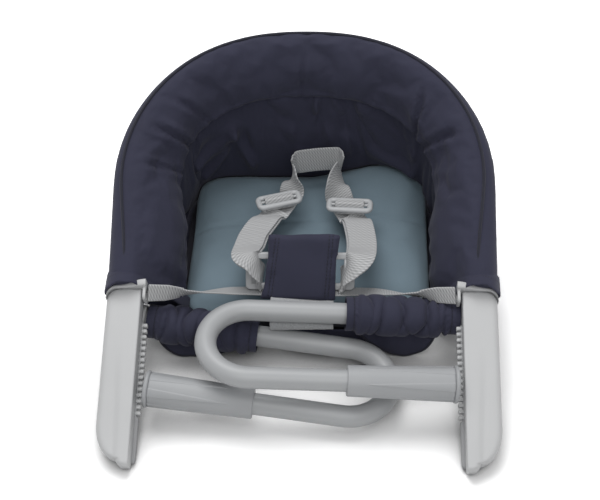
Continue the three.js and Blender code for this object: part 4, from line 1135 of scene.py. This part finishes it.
def base_outline(inset, z, count, draw_in=0):
    """A level ring of the seat's plan, a little in from its edge, its corners drawn in."""
    half_x = BASE_HALF_WIDTH - inset
    half_y = (BASE_BACK - BASE_FRONT) / 2 - inset
    angles = ring_angles(count)
    c, s = np.cos(angles), np.sin(angles)
    pull = draw_in * np.cos(2 * angles) ** 2
    x = (half_x - pull) * np.sign(c) * np.abs(c) ** (2 / CUSHION_POWER)
    y = (half_y - pull) * np.sign(s) * np.abs(s) ** (2 / CUSHION_POWER)
    return np.column_stack([x, y + (BASE_BACK + BASE_FRONT) / 2, np.full(count, float(z))])


def seat_cushion():
    levels = list(CUSHION_SIDE_LEVELS)
    for f in np.linspace(0.08, 0.97, 22):
        reach = 5 + (BASE_HALF_WIDTH - CUSHION_INSET - 6) * f * 0.72
        levels.append((reach, 25 + CUSHION_CROWN * math.sin(math.pi / 2 * f**0.6)))
    grid = np.array([base_outline(CUSHION_INSET + step, z, 160, 3) for step, z in levels])
    grid[..., 0] += CUSHION_SHIFT
    middle = (BASE_FRONT + BASE_BACK) / 2
    upper = smoothstep(grid[..., 2], 16, 24)
    fuller = 1 + 1.5 * smoothstep(grid[..., 0], -20, 95)
    grid[..., 2] += upper * CUSHION_REAR_RISE * fuller * smoothstep(grid[..., 1], middle, BASE_BACK)
    cushion = loft("cushion", grid, TEAL, ["seat_cushion"])
    puffed(cushion, 5, 4)
    mould(cushion, cushion_seams)
    return cushion


def cushion_seams(places):
    """A sewn line across the seat and soft dimples along it; the underside stays flat on its board."""
    x, y, z = places.T
    top = smoothstep(z, 20, 30)
    line = CUSHION_SEAM_Y + 5 * np.sin(x / 70)
    groove = bell(y - line, 3.2)
    broad = bell(y - line, 26)
    soft = ripple(x / 26, x / 17 + y / 40, y / 31)
    drop = -top * (1.7 * groove + 1.6 * broad + 0.9 * soft)
    rest = np.maximum(0, CUSHION_FLOOR - (z + drop))
    return np.column_stack([np.zeros_like(x), np.zeros_like(x), drop + rest])


def base_cover():
    rings = [base_outline(inset, z, 120) for inset, z in BASE_COVER_LEVELS]
    cover = loft("base_cloth", np.array(rings), NAVY, ["base_cover"])


def seat_board():
    rings = [base_outline(inset, z, 120) for inset, z in BOARD_LEVELS]
    loft("board", np.array(rings), BOARD, ["seat_board"])


def front_apron():
    """The low cloth between the two lobes, tucked behind the clamp bars."""
    xs = np.linspace(-APRON_HALF, APRON_HALF, 120)
    rows = 10
    grid = np.zeros((rows, len(xs), 3))
    for k, h in enumerate(np.linspace(0, 1, rows)):
        fold = 0.5 * ripple(xs * 0.12 + 2 * h, xs * 0.21, xs * 0.08)
        y = BASE_FRONT - 5.5 - fold * math.sin(math.pi * h)
        grid[k] = np.column_stack([xs, y, np.full(len(xs), lerp(APRON_LOW, APRON_HIGH, h))])
    apron = loft("apron", grid, NAVY, ["front_apron"], wrap=False)
    thicken(apron, FLAP_THICK)


def apron_lobe(name, sign):
    """A rounded flap of the cloth that hangs below the sock, with a bound edge."""
    first, deepest, last, foot_y = LOBES[name]
    count, rows = 90, 26
    xs = np.linspace(first, last, count)
    before = np.clip((xs - first) / (deepest - first), 0, 1)
    after = np.clip((xs - deepest) / (last - deepest), 0, 1)
    falling = np.sin(before * math.pi / 2) ** 0.55
    rising = np.cos(after * math.pi / 2) ** 0.85
    reach = np.where(xs < deepest, falling, rising)
    start = clamp_points(name, sign, np.column_stack([xs, np.full(count, -3.0), np.full(count, -14.0)]))
    foot = clamp_points(name, sign, np.column_stack([xs, np.zeros(count), np.zeros(count)]))
    foot[:, 1] = foot_y
    foot[:, 2] = 2.2
    grid = np.zeros((rows, count, 3))
    for k, h in enumerate(np.linspace(0, 1, rows)):
        fall = h * np.maximum(reach, 0.02)
        fold = 1.8 * ripple(xs * 0.19 + 2 * h, xs * 0.11 - h, xs * 0.31) * math.sin(math.pi * min(h, 0.8))
        belly = 3 * np.sin(math.pi * fall)
        grid[k] = start + (foot - start) * fall[:, None]
        grid[k, :, 1] -= belly + fold
    flap = loft(f"{name}_lobe", grid, NAVY, wrap=False)
    thicken(flap, FLAP_THICK)
    binding = tube_grid(resample(grid[-1], 80), 1.7, 10, (0.1, 0.2, 1))
    hem = loft(f"{name}_lobe_edge", binding, THREAD)


def thicken(obj, thick):
    shell = obj.modifiers.new("thick", "SOLIDIFY")
    shell.thickness = thick * MM
    shell.offset = 0


def sock_folds(x, angles, name):
    """Irregular gathers: sharp creases that run round the sleeve at a slant, each deepest on one side."""
    total = np.zeros_like(angles)
    for k, (place, slant, swell, deep, wide) in enumerate(SOCK_CREASES[name]):
        line = place + slant * np.sin(angles + swell) + 0.4 * slant * np.sin(2 * angles - swell)
        side = 0.65 + 0.35 * np.cos(angles * (1 + k % 2) + 2.1 * k)
        total += deep * side * np.exp(-np.abs(x - line) / wide)
    return total


def sock(name, sign):
    count, sides = 110, 72
    angles = ring_angles(sides)
    start, end = SOCK_SPAN
    rings = []
    for x in np.linspace(start, end, count):
        loose = smoothstep(x, start + 10, start + 20) * (1 - smoothstep(x, end - 16, end - 9))
        folds = np.minimum(1.25 * sock_folds(x, angles, name), SOCK_DEEPEST)
        radius = SOCK_CUFF + loose * (SOCK_LOOSE - folds)
        rings.append(np.stack([np.full(sides, x), radius * np.cos(angles), radius * np.sin(angles)], 1))
    grid = clamp_points(name, sign, np.array(rings))
    piece = loft(f"{name}_sock_cloth", grid, NAVY, [f"{name}_sock"], caps=False)
    settle(
        piece, lambda places: sock_cuffs(name, sign, places), grow=0.03, pressure=0.1, gravity=0.1,
        frames=10, cap=1.5,
    )
    refine(piece)
    mould(piece, lambda places: sock_limits(name, sign, places))
    thicken(piece, CLOTH_THICK)
    seams = []
    turn = np.linspace(0, 2 * math.pi, 90)
    for k, x in enumerate(SOCK_SEAMS):
        radius = SOCK_CUFF + 0.6
        ring = np.column_stack([np.full(90, x), np.cos(turn) * radius, np.sin(turn) * radius])
        seams.append(stitches(f"{name}_sock_stitch_{k}", clamp_points(name, sign, ring)))
    if name == "left":
        for cloth in [piece] + seams:
            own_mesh(cloth)


def clamp_local(name, sign, places):
    origin, inward, forward, up = clamp_axes(name, sign)
    return (places - origin) @ np.column_stack([inward, forward, up])


def sock_cuffs(name, sign, places):
    x = clamp_local(name, sign, places)[:, 0]
    return (x < SOCK_SPAN[0] + 10) | (x > SOCK_SPAN[1] - 9)


def sock_limits(name, sign, places):
    """Keep the folds off the tube, out of their neighbours, and the cuffs' stitch lines drawn in."""
    _, _, forward, up = clamp_axes(name, sign)
    local = clamp_local(name, sign, places)
    x = local[:, 0]
    reach = np.hypot(local[:, 1], local[:, 2])
    seam = sum(bell(x - place, 1.1) for place in SOCK_SEAMS)
    most = SOCK_MOST[name]
    soft = np.where(reach > most - 3, most - 3 * np.exp(-(reach - most + 3) / 3), reach)
    wanted = np.maximum(soft, SOCK_LEAST) - 0.6 * seam
    scale = (wanted / reach - 1)[:, None]
    return scale * (local[:, 1:2] * forward + local[:, 2:] * up)


# Harness

def pad_lean(y):
    """How far the pad's middle leans sideways, a height up its slope."""
    return lerp(-4.5, 3, y / CROTCH_PAD_LENGTH)


def crotch_pad():
    half, long = CROTCH_PAD_HALF, CROTCH_PAD_LENGTH
    ends = np.concatenate([np.linspace(0, 4, 6), np.linspace(6, long - 6, 24), np.linspace(long - 4, long, 6)])
    angles = ring_angles(72)
    c, s = np.cos(angles), np.sin(angles)
    rings = []
    for y in ends:
        end = math.sqrt(max(0.06, 1 - (1 - min(1, min(y, long - y) / 4)) ** 2))
        narrow = 1 - 0.05 * y / long
        x = pad_lean(y) + half * narrow * np.sign(c) * np.abs(c) ** 0.35
        z = CROTCH_PAD_THICK * np.sign(s) * np.abs(s) ** 0.7 * end
        rings.append(np.column_stack([x, np.full(len(x), y * 1.06 - 4), z]))
    pad = loft("crotch_cover", crotch_points(np.array(rings)), NAVY, ["crotch_pad"])
    puffed(pad, 4, 2)
    mould(pad, crotch_seams)
    into = crotch_points(vec(0, 0, -1)) - crotch_points(vec(0, 0, 0))
    for side, sign in SIDES:
        for step, inset in enumerate(CROTCH_SEAMS):
            shares = np.linspace(0.03, 0.97, 30)
            run = [(pad_lean(t * long) + sign * (half - inset - 2 * t), t * long, 4.3) for t in shares]
            line = onto(pad, crotch_points(np.array(run)), into)
            stitches(f"{side}_pad_stitch_{step}", line, 3.6, 0.6)


def crotch_seams(places):
    """Grooves under the two pairs of stitch rows, and a little waviness across the top."""
    origin = crotch_points(vec(0, 0, 0))
    c, s = math.cos(CROTCH_LEAN), math.sin(CROTCH_LEAN)
    x = places[:, 0]
    y = (places[:, 1] - origin[1]) * c + (places[:, 2] - origin[2]) * s
    z = -(places[:, 1] - origin[1]) * s + (places[:, 2] - origin[2]) * c
    inset = CROTCH_PAD_HALF - np.abs(x - pad_lean(y)) - 2 * y / CROTCH_PAD_LENGTH
    groove = sum(bell(inset - row, 1.3) for row in CROTCH_SEAMS)
    soft = 0.7 * ripple(x / 9 + y / 14, x / 14 - y / 9, y / 6)
    wavy = 1.6 * ripple(x / 8, x / 5) * smoothstep(y, 40, 70)
    drop = (soft - 1.1 * groove) * smoothstep(z, 0, 3)
    return drop[:, None] * vec(0, -s, c) + 0.5 * wavy[:, None] * vec(0, c, s)


def crotch_strap():
    """The band that comes down behind the pad and turns under the right clamp's rear leg."""
    rail = right_rail(0)
    wrap = TUBE_RADIUS + 4.2
    turn = [rail + vec(0, wrap * math.cos(a), wrap * math.sin(a)) for a in np.radians((-15, -45, -75, -100))]
    tail = [turn[-1] + vec(0, -1.5, -3.5), turn[-1] + vec(0, -1, -7.5)]
    top = crotch_points(np.array([(0, 34, -5.6), (0, 16, -5.6), (0, 2, -5)], float))
    path = spline(np.vstack([top, turn, tail]), 90)
    across = np.tile(unit(vec(1, CLAMP_YAW["right"], -CLAMP_RISE["right"])), (len(path), 1))
    grid = band_grid(path, across, CROTCH_BAND_WIDTH, WEB_THICK, 24)
    grid[..., 1] += 0.25 * ripple(grid[..., 0] * 0.5, grid[..., 0] * 0.9)
    loft("crotch_band", grid, LOOP_PILE, ["crotch_strap"])


def stops_band(name, stops, widths, width, count, nodes=(), body="frame", thick=WEB_THICK):
    """Webbing through stops, each with the direction of its width."""
    stops = np.asarray(stops, float)
    path = spline(stops, count)
    lengths = np.linalg.norm(np.diff(stops, axis=0), axis=1)
    marks = np.concatenate([[0], np.cumsum(lengths)]) / lengths.sum()
    place = np.linspace(0, 1, count)
    across = np.stack([np.interp(place, marks, [w[k] for w in widths]) for k in range(3)], 1)
    return loft(name, band_grid(path, across, width, thick, 12), WEBBING, nodes, body)


def tilted(degrees):
    """A direction across the line of sight's plane: 45 is edge-on to the viewer."""
    a = math.radians(degrees)
    return vec(0, -math.cos(a), math.sin(a))


def waist_belt(name, sign):
    start = arm_points(sign, vec(-6.5, -3, -5))
    below = BUCKLE_UP - CLIP_HEIGHT / 2 - 2.6
    far = crotch_points(vec(sign * (CLIP_OUTER + 18), below, BUCKLE_Z))
    near = crotch_points(vec(sign * (CLIP_INNER + 6), below, BUCKLE_Z))
    fold = lerp(start, far, 0.42) + vec(0, 0, -1)
    between = lerp(start, far, 0.68) + vec(0, 0, -1.2)
    stops = [start, lerp(start, fold, 0.5), fold, between, far, near]
    widths = [tilted(a) for a in (114, 103, 60, 43, 24, 20)]
    stops_band(f"{name}_belt", stops, widths, BELT_WIDTH, 90, [f"{name}_waist_belt"])
    lift = vec(0, -1.6, 1.6)
    tail = [start + lift, lerp(start, fold, 0.5) + lift, lerp(start, fold, 0.92) + 0.7 * lift]
    widths = [tilted(a) for a in (120, 110, 76)]
    stops_band(f"{name}_belt_fold", tail, widths, BELT_FOLD_WIDTH, 40, thick=BELT_FOLD_THICK)
    loose_end(name, tail[-1], sign)


def loose_end(name, place, sign):
    """A few frayed yarns where the folded belt ends."""
    for k in range(4):
        lean = vec(-sign * (1.2 + k), -1.6 + 0.9 * k, -3.2 + 1.4 * k)
        bend = vec(0, -1.2, 0.8 * (-1) ** k)
        path = spline([place + vec(0, 0.8 * k, -0.6 * k), place + lean * 0.5 + bend, place + lean * 1.3], 14)
        grid = tube_grid(path, np.linspace(0.32, 0.16, 14), 6, (0.2, 0.3, 1))
        loft(f"{name}_belt_yarn_{k}", grid, WEBBING)


def harness_route(name, sign):
    """Stops and width directions of one shoulder strap from its clip, under its slider, to the neck band."""
    slider = SLIDER_AT[name]
    run, leg = STRAP_RUN[name], STRAP_LEG[name]
    under = lerp(slider, leg[0], 0.35) + vec(0, -2, -9.5)
    stops = list(run) + [lerp(slider, run[-1], 0.5) + vec(0, 0, -10.8), under] + list(leg)
    widths = list(STRAP_WIDTHS[name]) + [vec(1, 0, 0), vec(0.9, 0.1, -0.2 * sign)]
    widths += [unit(lerp(vec(1, 0, 0), vec(0, 0.15, -sign), t)) for t in STRAP_TWIST[name]]
    return stops, widths


def shoulder_strap(name, sign):
    stops, widths = harness_route(name, sign)
    run = STRAP_RUN[name]
    nodes = [f"{name}_shoulder_strap"]
    under = [p - (0, -1.2, 2.2) + (-1.6 * sign, 0, 0) for p in run]
    strap = stops_band(f"{name}_strap", under + stops[len(run):], widths, WEB_WIDTH, 170, nodes, None)
    slider = SLIDER_AT[name]
    passing = lerp(slider, run[-1], 0.5) + vec(0, 0, -8)
    top = [slider + vec(0, -7.5, -7.6), passing] + [p + vec(0, 0, 1) for p in run[::-1]]
    faces = [vec(1, 0, 0)] * 2 + list(STRAP_WIDTHS[name][::-1])
    back = stops_band(f"{name}_strap_return", top, faces, WEB_WIDTH - 1, 110, [], None)
    for piece in (strap, back):
        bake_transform(piece)


def slider_axes(name):
    tilt = SLIDER_TILT[name]
    across = vec(math.cos(tilt), math.sin(tilt), 0)
    along = vec(-math.sin(tilt), math.cos(tilt), 0)
    return across, along, vec(0, 0, 1)


def strap_slider(name):
    """A three-bar slider with the webbing humped over its middle bar."""
    across, along, lift = slider_axes(name)
    centre = SLIDER_AT[name]
    body = f"{name}_slider"
    plan = rounded_loop(*SLIDER_HALF, SLIDER_CORNER, 96)
    path = centre + plan[:, :1] * across + plan[:, 1:] * along
    turn = ring_angles(14)
    section = np.column_stack([SLIDER_SECTION[0] * np.cos(turn), SLIDER_SECTION[1] * np.sin(turn)])
    ring_loft(f"{name}_tri_glide", path, section, lift, BUCKLE_PLASTIC, [f"{name}_strap_slider"], body)
    bar = [centre + across * t + along * 1.0 for t in np.linspace(-SLIDER_BAR_HALF, SLIDER_BAR_HALF, 16)]
    loft(f"{name}_slider_bar", tube_grid(bar, SLIDER_BAR_RADIUS, 12, (0, 0, 1)), BUCKLE_PLASTIC, body=body)
    stops = [centre + along * y + lift * z for y, z in HUMP_SHAPE]
    stops_band(f"{name}_strap_hump", stops, [across] * len(stops), WEB_WIDTH + 1, 50, [], body)


def neck_strap():
    left, right = NECK_CORNERS
    stops = [left + vec(-1.5, -7, -1.5), left + vec(0.5, -2.5, 0), left + vec(5, 0.6, 0.6)]
    stops += [lerp(left, right, 0.5) + vec(0, 2, 0)]
    stops += [right + vec(-5, 0.6, -0.4), right + vec(-0.5, -2.5, 0), right + vec(1.5, -7, -1.5)]
    stops_band("neck_band", stops, [vec(0, 0.1, 1)] * len(stops), WEB_WIDTH, 90, ["neck_strap"])


def rounded_loop(half_w, half_h, radius, count):
    """A closed rounded rectangle, evenly sampled."""
    points = []
    for x, y, first in ((1, 1, 0), (-1, 1, 90), (-1, -1, 180), (1, -1, 270)):
        corner = vec(x * (half_w - radius), y * (half_h - radius))
        for a in np.radians(np.linspace(first, first + 90, 13)):
            points.append(corner + vec(radius * math.cos(a), radius * math.sin(a)))
    points.append(points[0])
    return resample(np.array(points), count + 1)[:-1]


def ring_loft(name, path, section, axis, material, nodes=(), body="frame"):
    """A closed loop swept with a closed section given as (outward in the loop's plane, along its axis)."""
    path = np.asarray(path, float)
    tangent = unit_rows(np.roll(path, -1, axis=0) - np.roll(path, 1, axis=0))
    out = np.cross(tangent, axis)
    section = np.asarray(section, float)
    grid = path[:, None] + out[:, None] * section[None, :, :1]
    grid = grid + np.asarray(axis)[None, None] * section[None, :, 1:]
    return loft(name, grid, material, nodes, body, ring=True)


def box_section(wide, thick, radius):
    """A rounded bar's section."""
    return rounded_loop(wide / 2, thick / 2, radius, 28)


def buckle_clip(name, sign):
    body = f"{name}_clip"
    outer = CLIP_OUTER + CLIP_SPREAD[name]
    middle = vec(sign * (CLIP_INNER + outer) / 2, BUCKLE_UP - 0.5, BUCKLE_Z)
    plan = rounded_loop((outer - CLIP_INNER) / 2 - CLIP_RIM, CLIP_HEIGHT / 2 - CLIP_RIM, 0.8, 88)
    path = crotch_points(middle + np.column_stack([plan, np.zeros(len(plan))]))
    axis = crotch_points(vec(0, 0, 1)) - crotch_points(vec(0, 0, 0))
    section = box_section(7, 6, 1.3)
    ring_loft(f"{name}_clip_frame", path, section, axis, BUCKLE_PLASTIC, [f"{name}_buckle_clip"], body)
    bar = box_section(11, 5.4, 0.8)
    ends = (BUCKLE_UP - CLIP_HEIGHT / 2 + 2, BUCKLE_UP + CLIP_HEIGHT / 2 - 3)
    rings = [[(sign * (outer - 5.7 + a), y, BUCKLE_Z + b) for a, b in bar] for y in ends]
    loft(f"{name}_clip_bar", crotch_points(np.array(rings)), BUCKLE_PLASTIC, body=body)
    tongue = box_section(16, 4, 1.2)
    rings = [[(sign * x, BUCKLE_UP + a, BUCKLE_Z + b) for a, b in tongue] for x in (8, 9, 26)]
    loft(f"{name}_clip_tongue", crotch_points(np.array(rings)), BUCKLE_PLASTIC, body=body)


def belt_anchor(name, sign):
    """The lip behind the arm, flush outside and high at its inner end, and the belt's slotted ear."""
    rings = []
    end = ARM_WIDTH + 0.6
    for x in np.concatenate([np.linspace(-5, -3, 4), np.linspace(0, 24, 12), np.linspace(25, end, 16)]):
        inner = 1 - smoothstep(x, -5, 27)
        corner = float(round_over(end - x, ARM_REAR_ROUND))
        top = LIP_TOP + LIP_RISE * inner - 0.12 * corner
        low = LIP_LOW + 0.1 * corner
        deep = LIP_DEEP + LIP_DEEPER * inner
        lip = box_section(deep, top - low, 1.4)
        rings.append([(x, 0.3 + deep / 2 - corner + a, (top + low) / 2 + b) for a, b in lip])
    loft(f"{name}_anchor_plate", arm_points(sign, np.array(rings)), ARM_PLASTIC, [f"{name}_belt_anchor"])
    loop = rounded_loop(*EAR_HALF, 3, 72)
    path = arm_points(sign, np.column_stack([np.zeros(len(loop)), loop]) + EAR_AT)
    axis = arm_points(sign, vec(1, 0, 0)) - arm_points(sign, vec(0, 0, 0))
    ring_loft(f"{name}_anchor_ear", path, box_section(3, 3.2, 0.9), axis, ARM_PLASTIC)


def hoop_screw(name, sign):
    """A low screw head in the arm's outer wall."""
    turn = ring_angles(28)
    rings = []
    for x, radius in SCREW_PROFILE:
        rings.append([(x, SCREW_Y + radius * math.cos(a), -HOOP_DEPTH + radius * math.sin(a)) for a in turn])
    loft(f"{name}_screw", arm_points(sign, np.array(rings)), SCREW_STEEL, [f"{name}_hoop_screw"])


# Studio

WORLD_LIGHT = 0.32
KEY_WATTS = 20
FILL_WATTS = 13
FLOOR_WHITE = 1.0
# How far and how strongly ambient occlusion darkens the floor's colour near the chair: painted shade under and
# between its parts.
PAINTED_SHADE_REACH = 0.075
PAINTED_SHADE_DEPTH = 0.9
FLOOR_TONE = 0.75
PICTURE = (600, 500)
FOCAL_PIXELS = 1203
SENSOR = 36
CAMERA_AT = (56.9, -834.3, 992.5)
CAMERA_ELEVATION = math.radians(45.29)
CAMERA_YAW = math.radians(-3.85)
CAMERA_ROLL = math.radians(-2.34)
LIGHT_TARGET = (0, 0, 0.05)


def camera():
    data = bpy.data.cameras.new("camera")
    data.sensor_width = SENSOR
    data.lens = SENSOR * FOCAL_PIXELS / PICTURE[0]
    data.clip_end = 20
    obj = bpy.data.objects.new("camera", data)
    bpy.context.scene.collection.objects.link(obj)
    level = math.cos(CAMERA_ELEVATION)
    look = Vector((math.sin(CAMERA_YAW) * level, math.cos(CAMERA_YAW) * level, -math.sin(CAMERA_ELEVATION)))
    right = Vector((math.cos(CAMERA_YAW), -math.sin(CAMERA_YAW), 0))
    up = right.cross(look)
    c, s = math.cos(CAMERA_ROLL), math.sin(CAMERA_ROLL)
    turn = Matrix((right * c + up * s, up * c - right * s, -look)).transposed().to_4x4()
    obj.matrix_world = Matrix.Translation(placed([CAMERA_AT])[0]) @ turn
    bpy.context.scene.camera = obj


def area_light(name, place, size, power):
    data = bpy.data.lights.new(name, "AREA")
    data.size = size
    data.energy = power
    obj = bpy.data.objects.new(name, data)
    obj.location = place
    obj.rotation_euler = (Vector(LIGHT_TARGET) - Vector(place)).to_track_quat("-Z", "Y").to_euler()
    bpy.context.scene.collection.objects.link(obj)


def background_rays(tree):
    """1 where the camera sees the background, straight, in a reflection or through glass."""
    path = tree.nodes.new("ShaderNodeLightPath")
    seen = path.outputs["Is Camera Ray"]
    for kind in ("Is Glossy Ray", "Is Transmission Ray"):
        either = tree.nodes.new("ShaderNodeMath")
        either.operation = "MAXIMUM"
        tree.links.new(seen, either.inputs[0])
        tree.links.new(path.outputs[kind], either.inputs[1])
        seen = either.outputs[0]
    return seen


def studio():
    work = bmesh.new()
    bmesh.ops.create_grid(work, x_segments=1, y_segments=1, size=4)
    mesh = bpy.data.meshes.new("floor")
    work.to_mesh(mesh)
    work.free()
    floor = bpy.data.objects.new("floor", mesh)
    floor.location = (0, 0, -0.0003)
    bpy.context.scene.collection.objects.link(floor)
    s = Shader("floor")
    tone = s.math("ADD", FLOOR_TONE, s.math("MULTIPLY", background_rays(s.tree), FLOOR_WHITE))
    # The floor's colour is darkened by ambient occlusion near the chair: painted shade under the seat, arms and
    # bars.
    painted_shade_factor = s.add("ShaderNodeAmbientOcclusion", {"samples": 16}, Distance=PAINTED_SHADE_REACH).outputs["AO"]
    tone = s.math("MULTIPLY", tone, s.math("POWER", painted_shade_factor, PAINTED_SHADE_DEPTH))
    matt = s.add("ShaderNodeBsdfDiffuse", None, Color=tone)
    s.tree.links.new(matt.outputs[0], s.tree.nodes["Material Output"].inputs["Surface"])
    mesh.materials.append(s.material)
    world = bpy.data.worlds.new("world")
    world.use_nodes = True
    back = next(n for n in world.node_tree.nodes if n.type == "BACKGROUND")
    back.inputs[0].default_value = (1, 1, 1, 1)
    strength = world.node_tree.nodes.new("ShaderNodeMath")
    strength.operation = "MULTIPLY_ADD"
    strength.inputs[1].default_value = 1 - WORLD_LIGHT
    strength.inputs[2].default_value = WORLD_LIGHT
    world.node_tree.links.new(background_rays(world.node_tree), strength.inputs[0])
    world.node_tree.links.new(strength.outputs[0], back.inputs[1])
    bpy.context.scene.world = world
    area_light("key", (-0.25, 0.5, 1.9), 1.2, KEY_WATTS)
    area_light("fill", (0.3, -1.3, 1.7), 1.4, FILL_WATTS)


def render_settings():
    scene = bpy.context.scene
    scene.render.engine = "CYCLES"
    scene.render.resolution_x, scene.render.resolution_y = PICTURE
    scene.view_settings.view_transform = "Standard"


def dress_plain_nodes():
    """CAD nodes that stay in view get their own node materials."""
    plain = {"hoop_tube": HOOP_METAL, "buckle_body": BUCKLE_PLASTIC, "buckle_button": BUCKLE_PLASTIC}
    for node, material in plain.items():
        data = frame["nodes"][node].data
        data.materials.clear()
        data.materials.append(material)


def main():
    render_settings()
    camera()
    studio()
    for name, sign in SIDES:
        arm_shell(name, sign)
        table_pad(name, sign)
        clamp_bar(name, sign)
        sock(name, sign)
        waist_belt(name, sign)
        shoulder_strap(name, sign)
        strap_slider(name)
        buckle_clip(name, sign)
        belt_anchor(name, sign)
        apron_lobe(name, sign)
        hoop_screw(name, sign)
        rim_hem(name, sign)
    rim_pad()
    rim_piping()
    back_panel(seat_cushion())
    base_cover()
    seat_board()
    front_apron()
    crotch_pad()
    crotch_strap()
    neck_strap()
    dress_plain_nodes()


main()
